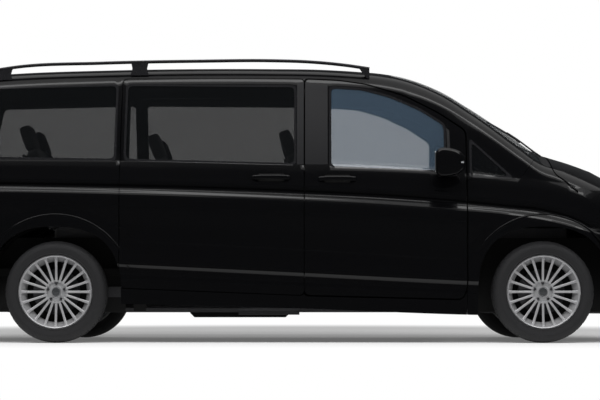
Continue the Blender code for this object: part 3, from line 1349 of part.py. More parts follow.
# Cabin
def seat(name, x, y, width, top, headrests, floor_rise=0):
    """A seat or bench: base, cushion, leaning back and headrests."""
    cushion_z = top - CUSHION_DEPTH / 2
    cushion = block(name, (SEAT_LENGTH, width, CUSHION_DEPTH), (x, y, cushion_z), "cloth", SEAT_ROUNDING)
    lean = Matrix.Rotation(-BACK_LEAN, 3, "Y")
    foot = Vector((x - SEAT_LENGTH / 2 + BACK_DEPTH / 2, y, cushion_z))
    back = block(name + "_back", (BACK_DEPTH, width * BACK_WIDTH_SHARE, BACK_HEIGHT),
                 foot + lean @ Vector((0, 0, BACK_HEIGHT / 2)), "cloth", SEAT_ROUNDING, lean)
    floor_top = FLOOR_BOTTOM + FLOOR_DEPTH + floor_rise + SEAT_GAP
    base_top = cushion_z
    base = block(name + "_base", (SEAT_LENGTH * SEAT_BASE_LENGTH_SHARE, width * SEAT_BASE_WIDTH_SHARE,
                                  base_top - floor_top), (x, y, (base_top + floor_top) / 2))
    union(cushion, back, base)
    for offset in headrests:
        rest_y = Vector((0, offset * width, 0))
        rest_z = BACK_HEIGHT + HEADREST_HEIGHT / 2 - SEAT_ROUNDING
        rest = block(name + "_rest", (HEADREST_DEPTH, HEADREST_WIDTH, HEADREST_HEIGHT),
                     foot + rest_y + lean @ Vector((0, 0, rest_z)), "cloth", SEAT_ROUNDING, lean)
        union(cushion, rest)
    return flattened(cushion)


def seats():
    """Two front seats and two benches."""
    seat("front_seat_right", FRONT_SEAT_X, -FRONT_SEAT_Y, SEAT_WIDTH, CUSHION_TOP, (0,))
    seat("front_seat_left", FRONT_SEAT_X, FRONT_SEAT_Y, SEAT_WIDTH, CUSHION_TOP, (0,))
    seat("second_row_seat", SECOND_SEAT_X, 0, SECOND_SEAT_WIDTH, REAR_SEAT_TOP, BENCH_REST_SHARES)
    seat("third_row_seat", THIRD_SEAT_X, 0, THIRD_SEAT_WIDTH, THIRD_SEAT_TOP, BENCH_REST_SHARES,
         REAR_FLOOR_RISE)


def dashboard():
    """The dashboard, with the steering column and wheel fixed in it."""
    rear_x = FLOOR_FRONT_X - BULKHEAD_DEPTH / 2 - SEAT_GAP - DASH_LENGTH
    points = [(rear_x + along * DASH_LENGTH, DASH_BOTTOM + up * DASH_HEIGHT) for along, up in DASH_SHARES]
    outline = prism("dash_outline", points, "Y", -DASH_HALF_WIDTH, DASH_HALF_WIDTH)
    dash = release(outline, "dashboard", "plastic")
    tilt = Matrix.Rotation(-COLUMN_TILT, 3, "Y")
    axis = tilt @ Vector((0, 0, 1))
    centre = Vector((rear_x - STEERING_LEAD, FRONT_SEAT_Y, STEERING_Z))
    column = rod("column", COLUMN_RADIUS, centre, centre - axis * COLUMN_LENGTH)
    ring_mesh = torus_mesh("steering_ring", STEERING_RADIUS, STEERING_GRIP)
    ring_mesh.transform(Matrix.Translation(centre) @ tilt.to_4x4())
    ring = piece("steering_ring", ring_mesh, "plastic")
    union(dash, column, ring)
    for turn in STEERING_SPOKE_SHARES:
        angle = turn * 2 * math.pi
        spoke_end = centre + tilt @ Vector((math.cos(angle), math.sin(angle), 0)) * STEERING_RADIUS
        union(dash, rod("steering_spoke", STEERING_GRIP / 2, centre - axis * STEERING_GRIP / 4, spoke_end,
                        steps=ROUND_STEPS // 2))
    flattened(dash)


def torus_mesh(name, radius, grip):
    """A ring from a circle curve with a round bevel."""
    curve = bpy.data.curves.new(name, "CURVE")
    curve.dimensions = "3D"
    curve.bevel_depth = grip
    curve.bevel_resolution = 1
    spline = curve.splines.new("POLY")
    spline.points.add(ROUND_STEPS - 1)
    for i, target in enumerate(spline.points):
        angle = 2 * math.pi * i / ROUND_STEPS
        target.co = (radius * math.cos(angle), radius * math.sin(angle), 0, 1)
    spline.use_cyclic_u = True
    guide = bpy.data.objects.new(name, curve)
    CUTTERS.objects.link(guide)
    return curve_mesh(guide)


# Roof rails
def roof_rail(side, tag):
    """A roof rail: a bar over the cantrail that comes down to it on three feet."""
    y = side * RAIL_Y_SHARE * HALF_WIDTH
    line = smooth_line(RAIL_SHARES, BODY_HEIGHT)
    start, end = station(RAIL_SHARES[0][0]), station(RAIL_SHARES[-1][0])
    xs = [start + (end - start) * i / RAIL_STEPS for i in range(RAIL_STEPS + 1)]
    upper = [(x, float(line(x))) for x in xs]
    lower = [(x, z - RAIL_THICKNESS) for x, z in reversed(upper)]
    ends = sorted((y - RAIL_WIDTH / 2, y + RAIL_WIDTH / 2))
    rail = release(prism("rail_outline", upper + lower, "Y", *ends), "roof_rail_" + tag, "trim")
    for place in RAIL_FOOT_SHARES:
        margin = RAIL_FOOT_LENGTH / 2 + SEAT_GAP
        x = min(max(station(place), start + margin), end - margin)
        top = float(line(x)) - RAIL_THICKNESS / 2
        skin = roof_skin_height(x, y)
        foot = block("rail_foot", (RAIL_FOOT_LENGTH, RAIL_WIDTH - 2 * SEAT_GAP, top - skin + ROOF_DEPTH / 2),
                     (x, y, (top + skin - ROOF_DEPTH / 2) / 2))
        union(rail, foot)
    low, high = sorted((y - RAIL_WIDTH * 2, y + RAIL_WIDTH * 2))
    lowest = (start - OVERRUN, low, BELT_LINE_SHARES[0][1] * BODY_HEIGHT)
    highest = (end + OVERRUN, high, BODY_HEIGHT + OVERRUN)
    seat_form = skin_patch("rail_seat", WALL_DEPTH, "plastic", lowest, highest, -SEAT_GAP)
    return boolean(rail, seat_form, "DIFFERENCE")


def roof_skin_height(x, y):
    """Height of the finished skin over a place."""
    start = np.array([x, y, NOSE_EDGE_HEIGHT])
    return float(to_skin(start, np.array([0, 0, 1.0]), BODY_HEIGHT)[2])


def main():
    """Builds every piece."""
    for tag, side in (("right", -1), ("left", 1)):
        front_panels(side, tag)
        sliding_panels(side, tag)
        body_side(side, tag)
        quarter_glasses(side, tag)
        fender(side, tag)
        lamps(side, tag)
        roof_rail(side, tag)
    roof()
    windscreen_and_scuttle()
    bonnet()
    tailgate()
    bumpers()
    grille()
    wheels()
    subframe()
    rear_axle()
    engine_and_exhaust()
    floor()
    seats()
    dashboard()


main()
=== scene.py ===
"""Looks of the minivan: fine panels, glass, lamps, wheels, cabin, materials, light and camera."""

import math

import bmesh
import bpy
import numpy as np
from mathutils import Matrix, Vector


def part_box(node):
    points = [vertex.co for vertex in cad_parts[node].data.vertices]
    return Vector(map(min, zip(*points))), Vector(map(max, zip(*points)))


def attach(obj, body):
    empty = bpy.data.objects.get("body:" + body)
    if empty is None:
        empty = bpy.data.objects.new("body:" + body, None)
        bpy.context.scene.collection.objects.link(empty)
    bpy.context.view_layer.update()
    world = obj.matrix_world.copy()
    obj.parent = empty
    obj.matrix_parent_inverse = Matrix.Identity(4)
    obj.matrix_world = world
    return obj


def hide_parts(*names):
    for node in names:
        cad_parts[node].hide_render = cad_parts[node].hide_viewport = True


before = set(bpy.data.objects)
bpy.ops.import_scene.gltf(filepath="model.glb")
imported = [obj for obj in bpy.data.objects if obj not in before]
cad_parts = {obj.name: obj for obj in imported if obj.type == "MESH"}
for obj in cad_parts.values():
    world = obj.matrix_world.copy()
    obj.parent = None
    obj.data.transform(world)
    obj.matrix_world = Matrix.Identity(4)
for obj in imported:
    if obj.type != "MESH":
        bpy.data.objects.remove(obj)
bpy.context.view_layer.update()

# Sizes that the frame gives
TYRE_LOW, TYRE_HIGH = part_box("tyre_front_right")
TYRE_RADIUS = (TYRE_HIGH.x - TYRE_LOW.x) / 2
TYRE_WIDTH = TYRE_HIGH.y - TYRE_LOW.y
FRONT_AXLE_X = 1.675
REAR_AXLE_X = -1.525
WHEEL_Y = -(TYRE_LOW.y + TYRE_HIGH.y) / 2
WHEELBASE = FRONT_AXLE_X - REAR_AXLE_X
FRONT_OVERHANG = 0.895
REAR_OVERHANG = 1.045
NOSE_X = FRONT_AXLE_X + FRONT_OVERHANG
TAIL_X = REAR_AXLE_X - REAR_OVERHANG
LENGTH = NOSE_X - TAIL_X
BODY_WIDTH = 1.928
HALF_WIDTH = BODY_WIDTH / 2
BODY_HEIGHT = 1.872
PANEL_GAP = 0.0025
SHUT_GAP = 0.005
MOVING_GAP = 0.009
OVERRUN = 0.05
WELD_GAP = 0.00003
HALF_GAP = PANEL_GAP / 2
HALF_MOVING = MOVING_GAP / 2

# Lines along the side, as station and share of the body height
TOP_LINE_SHARES = (
    (-1, .948), (-.67, .970), (-.264, .986), (.082, .995), (.291, 1), (.438, 1), (.547, .998),
    (.625, .991), (.675, .984), (.719, .971), (.762, .948), (.807, .914), (.850, .870),
    (.895, .821), (.956, .748), (1.022, .691), (1.112, .677), (1.25, .657), (1.402, .631),
    (1.547, .604), (1.693, .572), (1.816, .532), (1.894, .497), (2, .427))
SILL_LINE_SHARES = (
    (-1, .152), (-.574, .147), (.175, .135), (.5, .121), (.869, .098), (1.447, .096), (2, .107))
CREASE_LINE_SHARES = (
    (-1, .310), (-.287, .299), (.093, .283), (.481, .250), (.828, .220), (1.447, .198), (2, .192))
HIP_LINE_SHARES = (
    (-1, .529), (-.287, .526), (.297, .507), (.706, .471), (1, .427), (1.447, .374), (2, .331))
SHOULDER_LINE_SHARES = (
    (-1, .566), (-.35, .560), (.276, .546), (.5, .532), (.706, .514), (.922, .481), (1, .466),
    (1.223, .438), (1.411, .395), (1.67, .363), (2, .353))
BELT_LINE_SHARES = (
    (-1, .649), (-.359, .645), (.295, .634), (.485, .625), (.789, .604), (.938, .580),
    (1.112, .560), (1.447, .515), (2, .440))
PLAN_WIDTH_SHARES = (
    (-1, .955), (-.383, .985), (.188, 1), (.656, 1), (.875, .995), (1.223, .975), (1.67, .945),
    (2, .900))
CROWN_DROP_SHARES = ((-1, .070), (.6, .070), (.85, .092), (1.2, .100), (2, .100))
EAVES_SHARE = .993
CROWN_POWER = 2.4
SIDE_PROFILE_SHARES = (
    (0, .925), (.55, .950), (.90, .964), (1, .986), (1.12, .981), (1.55, .986), (1.9, 1),
    (2.2, .992), (2.6, .974), (2.95, .966), (3.12, .986), (3.35, .978), (4, .935), (5, .700))
NOSE_INSET = 0.30
NOSE_INSET_SHARES = (
    (.08, .40), (.14, .12), (.22, 0), (.31, 0), (.37, .05), (.44, .18), (.50, .36), (.55, .62),
    (.60, 1))
TAIL_INSET = 0.25
TAIL_INSET_SHARES = (
    (.08, .16), (.16, .04), (.24, 0), (.33, 0), (.36, .16), (.53, .14), (.65, .22), (.75, .48),
    (.86, .80), (.905, .92), (.925, .56), (.98, .64))
NOSE_SWEEP = 0.46
NOSE_SWEEP_POWER = 3
TAIL_SWEEP = 0.20
TAIL_SWEEP_POWER = 4
EAVES_BLEND = 0.09
NOSE_BLEND = 0.22
TAIL_BLEND = 0.16

# Panel outlines, as in the CAD
FRONT_DOOR_SHARES = (
    (.510, .166), (.834, .152), (.844, .187), (.844, .748), (.787, .815), (.719, .876),
    (.641, .919), (.578, .935), (.510, .940))
SLIDING_DOOR_SHARES = ((.131, .192), (.510, .166), (.510, .940), (.131, .940))
FRONT_GLASS_SHARES = (
    (.564, .617), (.800, .601), (.800, .769), (.750, .825), (.688, .873), (.631, .900),
    (.564, .908))
SLIDING_GLASS_SHARES = ((.141, .644), (.491, .628), (.491, .911), (.141, .916))
REAR_QUARTER_GLASS_SHARES = ((-.699, .654), (.120, .644), (.120, .916), (-.574, .903))
FRONT_QUARTER_GLASS_SHARES = ((.853, .584), (.935, .582), (.853, .712))
FENDER_SHARES = (
    (.844, .080), (1, .080), (1, .331), (1.335, .321), (1.559, .382), (1.80, .382), (1.80, .600),
    (1.335, .750), (1, .680), (.953, .574), (.844, .574))
FRONT_BUMPER_SHARES = (
    (1.100, .040), (2.2, .040), (2.2, .382), (1.559, .382), (1.335, .321), (1.100, .331))
HEADLAMP_SHARES = (
    (1.331, .530), (1.434, .482), (1.559, .427), (1.690, .382), (2.2, .382), (2.2, .600),
    (1.368, .600))
REAR_BUMPER_SHARES = (
    (-1.2, .040), (-.287, .040), (-.287, .299), (-.383, .299), (-.500, .337), (-1.2, .342))
TAIL_LAMP_SHARES = (
    (-1.2, .481), (-.680, .490), (-.640, .530), (-.660, .630), (-.725, .655), (-.725, .750),
    (-1.2, .770))
TAILGATE_SIDE_SHARES = (
    (-1.2, .345), (-.500, .345), (-.500, .855), (-.670, .880), (-.670, 1.1), (-1.2, 1.1))
ROOF_SHARES = ((-.670, .640), (.100, .670), (.690, .640))
WINDSCREEN_SHARES = ((.694, .640), (.850, .725), (1.000, .815))
SCUTTLE_SHARES = ((1.000, .830), (1.075, .830))
BONNET_SHARES = (
    (1.080, .840), (1.100, .885), (1.250, .915), (1.450, .905), (1.620, .820), (1.800, .600),
    (1.860, .300))
TAILGATE_SHARES = ((.820, .300), (.820, .460), (.770, .500), (.750, .700), (.690, .900), (.650, 1.10))
REAR_WINDOW_SHARES = ((.660, .680), (.610, .870))
GRILLE_WIDTH_SHARE = .450
ROOF_LOW_SHARE = .900
ZONE_LOW_SHARE = .44
REAR_ZONE_SHARE = -.40
SIDE_INNER_SHARE = .35
ZONE_INNER_Y = SIDE_INNER_SHARE * HALF_WIDTH / 2

# Wheel arches and their flares
ARCH_HALF_LENGTH = 0.430
ARCH_HEIGHT = 0.426
ARCH_POWER = 2.5
ARCH_STEPS = 48
FLARE_DEPTH = 0.015
FLARE_REACH = 0.30

# Mesh fineness
SIDE_COLUMNS = 150
LEVEL_ROWS_SHARE = (4, 5, 3, 3, 3, 5, 3, 4, 3, 4, 3, 3, 7, 10)
ACROSS = 28
END_ROWS = 5
SKIN_NOSE_STATION = 1.34
SKIN_TAIL_STATION = -.60
SKIN_EDGE_WIDTH_SHARE = .72
SKIN_EDGE_DROP = 0.030
NOSE_EDGE_HEIGHT = 0.90
TAIL_EDGE_HEIGHT = 1.745
BISECTIONS = 30
CORNER_STEPS = 6
CORNER_RADIUS = 0.035
CORNER_SIDE_SHARE = .45
MITRE_LIMIT = .3
NORMAL_STEP = .0015
ALONG_SKIN = .8

# Panel depths
DOOR_DEPTH = 0.060
SIDE_DEPTH = 0.075
PILLAR_DEPTH = 0.042
PILLAR_FLANGE = 0.050
FRAME_GAP = 0.0003
FRAME_SHARES = ((-.40, .16), (.90, .12), (.90, .60), (.84, .78), (.66, .945), (.50, .965), (-.40, .965))
ROOF_DEPTH = 0.040
THIN_DEPTH = 0.030
BUMPER_DEPTH = 0.045
TAILGATE_DEPTH = 0.050
GLASS_DEPTH = 0.005
GLASS_RECESS = 0.004


def station(share):
    """The x of a station: tail -1, rear axle 0, front axle 1, nose 2."""
    if share < 0:
        return REAR_AXLE_X + share * REAR_OVERHANG
    if share > 1:
        return FRONT_AXLE_X + (share - 1) * FRONT_OVERHANG
    return REAR_AXLE_X + share * WHEELBASE


def hermite(t, span, low, high, low_slope, high_slope):
    """One stretch of a smooth curve, t running from 0 to 1."""
    start = (2 * t ** 3 - 3 * t ** 2 + 1) * low + (t ** 3 - 2 * t ** 2 + t) * span * low_slope
    return start + (3 * t ** 2 - 2 * t ** 3) * high + (t ** 3 - t ** 2) * span * high_slope


def smooth_curve(places, values):
    """A smooth curve through points."""
    places = np.array(places, float)
    values = np.array(values, float)
    slopes = np.gradient(values, places)

    def value_at(x):
        x = np.clip(x, places[0], places[-1])
        i = np.clip(np.searchsorted(places, x) - 1, 0, len(places) - 2)
        span = places[i + 1] - places[i]
        return hermite((x - places[i]) / span, span, values[i], values[i + 1], slopes[i], slopes[i + 1])

    return value_at


def smooth_line(shares, size):
    """A smooth line over x through the given stations, its values shares of a size."""
    return smooth_curve([station(place) for place, _ in shares], [size * value for _, value in shares])


top_line = smooth_line(TOP_LINE_SHARES, BODY_HEIGHT)
SIDE_LINES = [smooth_line(shares, BODY_HEIGHT) for shares in (
    SILL_LINE_SHARES, CREASE_LINE_SHARES, HIP_LINE_SHARES, SHOULDER_LINE_SHARES, BELT_LINE_SHARES)]
plan_width = smooth_line(PLAN_WIDTH_SHARES, HALF_WIDTH)
crown_drop = smooth_line(CROWN_DROP_SHARES, BODY_HEIGHT)
side_profile = smooth_curve(*zip(*SIDE_PROFILE_SHARES))
nose_profile = smooth_curve(*zip(*NOSE_INSET_SHARES))
tail_profile = smooth_curve(*zip(*TAIL_INSET_SHARES))


def flare(x, z):
    """How far the wheel arches' flares stand out."""
    out = 0
    for axle_x in (REAR_AXLE_X, FRONT_AXLE_X):
        across = np.abs(x - axle_x) / ARCH_HALF_LENGTH
        up = np.maximum(z - TYRE_RADIUS, 0) / ARCH_HEIGHT
        ring = (across ** ARCH_POWER + up ** ARCH_POWER) ** (1 / ARCH_POWER)
        share = np.clip((1 + FLARE_REACH - ring) / FLARE_REACH, 0, 1)
        out = np.maximum(out, FLARE_DEPTH * share * share * (3 - 2 * share))
    return out


def side_half_width(x, z):
    """Half the body's width at a height, from the level between the side's feature lines."""
    heights = [line(x) for line in SIDE_LINES] + [EAVES_SHARE * BODY_HEIGHT + 0 * x]
    level = 0
    for low, high in zip(heights[:-1], heights[1:]):
        level = level + np.clip((z - low) / (high - low), 0, 1)
    return plan_width(x) * side_profile(level) + flare(x, z)


def roof_height(x, y):
    """Height of roof, windscreen and bonnet."""
    return top_line(x) - crown_drop(x) * (np.abs(y) / HALF_WIDTH) ** CROWN_POWER


def nose_reach(y, z):
    """The x of the nose."""
    sweep = NOSE_SWEEP * (np.abs(y) / HALF_WIDTH) ** NOSE_SWEEP_POWER
    return NOSE_X - NOSE_INSET * np.clip(nose_profile(z / BODY_HEIGHT), 0, None) - sweep


def tail_reach(y, z):
    """The x of the tail."""
    sweep = TAIL_SWEEP * (np.abs(y) / HALF_WIDTH) ** TAIL_SWEEP_POWER
    return TAIL_X + TAIL_INSET * np.clip(tail_profile(z / BODY_HEIGHT), 0, None) + sweep


def smooth_max(a, b, blend):
    """The larger of two distances, rounded where they are alike."""
    near = np.maximum(blend - np.abs(a - b), 0)
    return np.maximum(a, b) + near * near / (4 * blend)


def outside(x, y, z):
    """Above zero outside the body's outer skin."""
    shape = smooth_max(np.abs(y) - side_half_width(x, z), z - roof_height(x, y), EAVES_BLEND)
    shape = smooth_max(shape, x - nose_reach(y, z), NOSE_BLEND)
    return smooth_max(shape, tail_reach(y, z) - x, TAIL_BLEND)


def skin_normals(points):
    """The skin's outward directions at points, from how the shape function changes."""
    result = np.zeros(points.shape)
    for axis in range(3):
        shift = np.zeros(3)
        shift[axis] = NORMAL_STEP
        ahead = points + shift
        back = points - shift
        result[:, axis] = outside(*ahead.T) - outside(*back.T)
    return result / np.maximum(np.linalg.norm(result, axis=1, keepdims=True), 1e-12)


def to_skin(start, direction, reach):
    """Walks from points inside along their directions to the skin."""
    low = np.zeros(start.shape[:-1])
    high = low + reach
    for _ in range(BISECTIONS):
        middle = (low + high) / 2
        point = start + middle[..., None] * direction
        inside = outside(point[..., 0], point[..., 1], point[..., 2]) < 0
        low = np.where(inside, middle, low)
        high = np.where(inside, high, middle)
    return start + ((low + high) / 2)[..., None] * direction


def stack(*parts):
    """Broadcasts x, y and z to one array of points."""
    return np.stack(np.broadcast_arrays(*parts), axis=-1)


SKIN_NOSE_X = station(SKIN_NOSE_STATION)
SKIN_TAIL_X = station(SKIN_TAIL_STATION)
LEVELS = [0.0]
for row, count in enumerate(LEVEL_ROWS_SHARE[:-1]):
    low_level, high_level = SIDE_PROFILE_SHARES[row][0], SIDE_PROFILE_SHARES[row + 1][0]
    LEVELS += [low_level + (high_level - low_level) * (i + 1) / count for i in range(count)]
LEVELS = np.array(LEVELS)
LEVEL_STEPS = np.linspace(0, 1, len(LEVELS))


def level_height(x, level):
    """Height of a level of the side, where 5 is the edge between side and roof."""
    edge = roof_height(x, SKIN_EDGE_WIDTH_SHARE * HALF_WIDTH) - SKIN_EDGE_DROP
    heights = [line(x) for line in SIDE_LINES] + [edge]
    height = heights[0]
    for i, (low, high) in enumerate(zip(heights[:-1], heights[1:])):
        height = height + np.clip(level - i, 0, 1) * (high - low)
    return height


def side_points(u, v, side):
    """Points of one side: u runs from tail to nose and v up the levels."""
    x = SKIN_TAIL_X + u * (SKIN_NOSE_X - SKIN_TAIL_X)
    z = level_height(x, np.interp(v, LEVEL_STEPS, LEVELS))
    return to_skin(stack(x, 0 * x, z), stack(0 * x, side + 0 * x, 0 * x), BODY_WIDTH)


def end_points(u, v, end_x, middle_height, forward):
    """Points of nose or tail: u fans from right to left and v runs up."""
    t = 2 * u - 1
    angle = t * math.pi / 2
    sill = SIDE_LINES[0](end_x)
    corner = level_height(end_x, 5)
    edge = middle_height + (corner - middle_height) * t * t
    level = level_height(end_x, np.interp(v, LEVEL_STEPS, LEVELS))
    z = sill + (level - sill) * (edge - sill) / (corner - sill)
    start = stack(end_x + 0 * t, 0 * t, z)
    return to_skin(start, stack(forward * np.cos(angle), np.sin(angle), 0 * t), LENGTH)


def top_points(u, v):
    """Points of the top: u runs from tail edge to nose edge and v from right to left."""
    t = 2 * v - 1
    place = u * (SIDE_COLUMNS + 2 * END_ROWS)
    x = SKIN_TAIL_X + np.clip((place - END_ROWS) / SIDE_COLUMNS, 0, 1) * (SKIN_NOSE_X - SKIN_TAIL_X)
    edge_z = level_height(x, 5)
    edge = to_skin(stack(x, 0 * x, edge_z), stack(0 * x, 1 + 0 * x, 0 * x), BODY_WIDTH)
    y = t * edge[..., 1]
    tail_share = np.clip(1 - place / END_ROWS, 0, 1)
    nose_share = np.clip((place - END_ROWS - SIDE_COLUMNS) / END_ROWS, 0, 1)
    tail = end_points(v, 1 + 0 * u, SKIN_TAIL_X, TAIL_EDGE_HEIGHT, -1)
    nose = end_points(v, 1 + 0 * u, SKIN_NOSE_X, NOSE_EDGE_HEIGHT, 1)
    x = x + tail_share * (tail[..., 0] - x) + nose_share * (nose[..., 0] - x)
    y = y + tail_share * (tail[..., 1] - y) + nose_share * (nose[..., 1] - y)
    start = stack(x, y, 0 * x + NOSE_EDGE_HEIGHT / 2)
    flat = to_skin(start, stack(0 * x, 0 * x, 1 + 0 * x), LENGTH)
    rim = np.maximum(tail_share, nose_share)[..., None] >= 1
    return np.where(rim, np.where(tail_share[..., None] >= 1, tail, nose), flat)


def add_grid(bm, columns, rows, place):
    """Adds a primitive grid and moves its points onto the skin."""
    grid = bmesh.ops.create_grid(bm, x_segments=columns, y_segments=rows, size=.5)
    verts = grid["verts"]
    uv = np.array([vert.co[:2] for vert in verts]) + .5
    for vert, point in zip(verts, place(uv[:, 0], uv[:, 1])):
        vert.co = point


def skin_base():
    """The whole outer skin, open below, with its points' outward directions."""
    rows = len(LEVELS) - 1
    bm = bmesh.new()
    add_grid(bm, SIDE_COLUMNS, rows, lambda u, v: side_points(u, v, -1))
    add_grid(bm, SIDE_COLUMNS, rows, lambda u, v: side_points(u, v, 1))
    add_grid(bm, ACROSS, rows, lambda u, v: end_points(u, v, SKIN_NOSE_X, NOSE_EDGE_HEIGHT, 1))
    add_grid(bm, ACROSS, rows, lambda u, v: end_points(u, v, SKIN_TAIL_X, TAIL_EDGE_HEIGHT, -1))
    add_grid(bm, SIDE_COLUMNS + 2 * END_ROWS, ACROSS, top_points)
    bmesh.ops.remove_doubles(bm, verts=bm.verts, dist=WELD_GAP * 10)
    bmesh.ops.recalc_face_normals(bm, faces=bm.faces)
    bm.normal_update()
    highest = max(bm.faces, key=lambda face: face.calc_center_median().z)
    if highest.normal.z < 0:
        bmesh.ops.reverse_faces(bm, faces=bm.faces)
    bmesh.ops.triangulate(bm, faces=bm.faces)
    bm.normal_update()
    return bm


SKIN = skin_base()
SKIN_POINTS = [(vert.co.copy(), vert.normal.copy()) for vert in SKIN.verts]


def skin_mesh(inset):
    """The outer skin moved inwards by an inset."""
    for vert, (place, normal) in zip(SKIN.verts, SKIN_POINTS):
        vert.co = place - inset * normal
    mesh = bpy.data.meshes.new("skin")
    SKIN.to_mesh(mesh)
    return mesh


def link(name, mesh):
    """A new object in the scene."""
    obj = bpy.data.objects.new(name, mesh)
    bpy.context.scene.collection.objects.link(obj)
    return obj


def finished(bm, name):
    """A new object from worked geometry, which is used up."""
    mesh = bpy.data.meshes.new(name)
    bm.to_mesh(mesh)
    bm.free()
    return link(name, mesh)


def settle(obj):
    """Replaces an object's mesh by its evaluated one, with its modifiers in it."""
    bpy.context.view_layer.update()
    graph = bpy.context.evaluated_depsgraph_get()
    mesh = bpy.data.meshes.new_from_object(obj.evaluated_get(graph))
    obj.modifiers.clear()
    obj.data = mesh
    return obj


def cut(obj, other, operation):
    """Cuts with, keeps inside or joins another solid, which is used up."""
    modifier = obj.modifiers.new("cut", "BOOLEAN")
    modifier.operation = operation
    modifier.solver = "MANIFOLD"
    modifier.object = other
    settle(obj)
    bpy.data.objects.remove(other)
    return obj


SHELLS = {}


def shell(depth, inset):
    """The whole skin as a closed solid of one depth."""
    if (depth, inset) not in SHELLS:
        obj = link("shell", skin_mesh(inset))
        solidify = obj.modifiers.new("depth", "SOLIDIFY")
        solidify.thickness = depth
        solidify.offset = -1
        solidify.use_even_offset = False
        settle(obj)
        SHELLS[depth, inset] = obj.data.copy()
        bpy.data.objects.remove(obj)
    return SHELLS[depth, inset].copy()


def box_solid(low, high, rounding=0, segments=3):
    """A box between two corners."""
    bm = bmesh.new()
    bmesh.ops.create_cube(bm, size=1)
    size = [b - a for a, b in zip(low, high)]
    bmesh.ops.scale(bm, vec=size, verts=bm.verts)
    if rounding:
        bmesh.ops.bevel(bm, geom=bm.edges[:], offset=rounding, segments=segments, profile=.5,
                        affect="EDGES")
    bmesh.ops.translate(bm, vec=[(a + b) / 2 for a, b in zip(low, high)], verts=bm.verts)
    return finished(bm, "box")


def side_box(side, low, high, rounding=0):
    """A box on one side, its corners' y counted outwards from the middle."""
    near, far = sorted((side * low[1], side * high[1]))
    return box_solid((low[0], near, low[2]), (high[0], far, high[2]), rounding)


def edged(obj, width, segments):
    """Rounds a solid's edges."""
    bevel = obj.modifiers.new("edges", "BEVEL")
    bevel.width = width
    bevel.segments = segments
    return settle(obj)


def grown(points, distance):
    """An outline moved outwards by a distance, its corners mitred."""
    corners = [Vector(point) for point in points]
    count = len(corners)
    area = sum(corners[i - 1].cross(corners[i]) for i in range(count))
    turn = 1 if area > 0 else -1
    result = []
    for i, corner in enumerate(corners):
        before = (corner - corners[i - 1]).normalized()
        after = (corners[(i + 1) % count] - corner).normalized()
        mitre = turn * (Vector((before.y, -before.x)) + Vector((after.y, -after.x))).normalized()
        out_before = turn * Vector((before.y, -before.x))
        result.append(corner + mitre * (distance / max(mitre.dot(out_before), MITRE_LIMIT)))
    return result


def rounded(points, radius):
    """An outline with each corner as a short arc, smaller where its sides are short."""
    corners = [Vector(point) for point in points]
    count = len(corners)
    result = []
    for i, corner in enumerate(corners):
        back = corners[i - 1] - corner
        ahead = corners[(i + 1) % count] - corner
        reach = min(radius, back.length * CORNER_SIDE_SHARE, ahead.length * CORNER_SIDE_SHARE)
        start = corner + back.normalized() * reach
        end = corner + ahead.normalized() * reach
        for step in range(CORNER_STEPS + 1):
            t = step / CORNER_STEPS
            result.append((1 - t) ** 2 * start + 2 * t * (1 - t) * corner + t ** 2 * end)
    return result


AXIS_MATRICES = {
    "X": Matrix(((0, 0, 1, 0), (1, 0, 0, 0), (0, 1, 0, 0), (0, 0, 0, 1))),
    "Y": Matrix(((1, 0, 0, 0), (0, 0, -1, 0), (0, 1, 0, 0), (0, 0, 0, 1))),
    "Z": Matrix.Identity(4),
}


def prism(points, axis, low, high):
    """A flat outline extruded along an axis, made from a filled 2D curve."""
    curve = bpy.data.curves.new("outline", "CURVE")
    curve.dimensions = "2D"
    curve.fill_mode = "BOTH"
    curve.extrude = abs(high - low) / 2
    spline = curve.splines.new("POLY")
    spline.points.add(len(points) - 1)
    for target, point in zip(spline.points, points):
        target.co = (point[0], point[1], 0, 1)
    spline.use_cyclic_u = True
    guide = link("outline", curve)
    middle = (low + high) / 2
    along = -middle if axis == "Y" else middle
    obj = curve_solid(guide)
    obj.data.transform(AXIS_MATRICES[axis] @ Matrix.Translation((0, 0, along)))
    return obj


def curve_solid(guide):
    """The closed mesh of a curve object, which is removed."""
    bpy.context.view_layer.update()
    graph = bpy.context.evaluated_depsgraph_get()
    mesh = bpy.data.meshes.new_from_object(guide.evaluated_get(graph))
    bpy.data.objects.remove(guide)
    bm = bmesh.new()
    bm.from_mesh(mesh)
    bmesh.ops.remove_doubles(bm, verts=bm.verts, dist=WELD_GAP)
    bmesh.ops.recalc_face_normals(bm, faces=bm.faces)
    bm.to_mesh(mesh)
    bm.free()
    return link("solid", mesh)


def side_outline(shares):
    """Side-view points from stations and shares of the body height."""
    return [(station(place), height * BODY_HEIGHT) for place, height in shares]


def side_zone(shares, side, grow, inner=ZONE_INNER_Y):
    """A prism across one side of the body."""
    points = rounded(grown(side_outline(shares), grow), CORNER_RADIUS)
    return prism(points, "Y", *sorted((side * inner, side * (HALF_WIDTH + OVERRUN))))


def across_zone(shares, grow):
    """A prism across the whole width from a side-view outline."""
    points = rounded(grown(side_outline(shares), grow), CORNER_RADIUS)
    return prism(points, "Y", -HALF_WIDTH - OVERRUN, HALF_WIDTH + OVERRUN)


def plan_zone(shares, grow):
    """A prism down through the roof, windscreen or bonnet."""
    right = [(station(place), -width * HALF_WIDTH) for place, width in shares]
    points = rounded(grown(right + [(x, -y) for x, y in reversed(right)], grow), CORNER_RADIUS)
    return prism(points, "Z", ZONE_LOW_SHARE * BODY_HEIGHT, BODY_HEIGHT + OVERRUN)


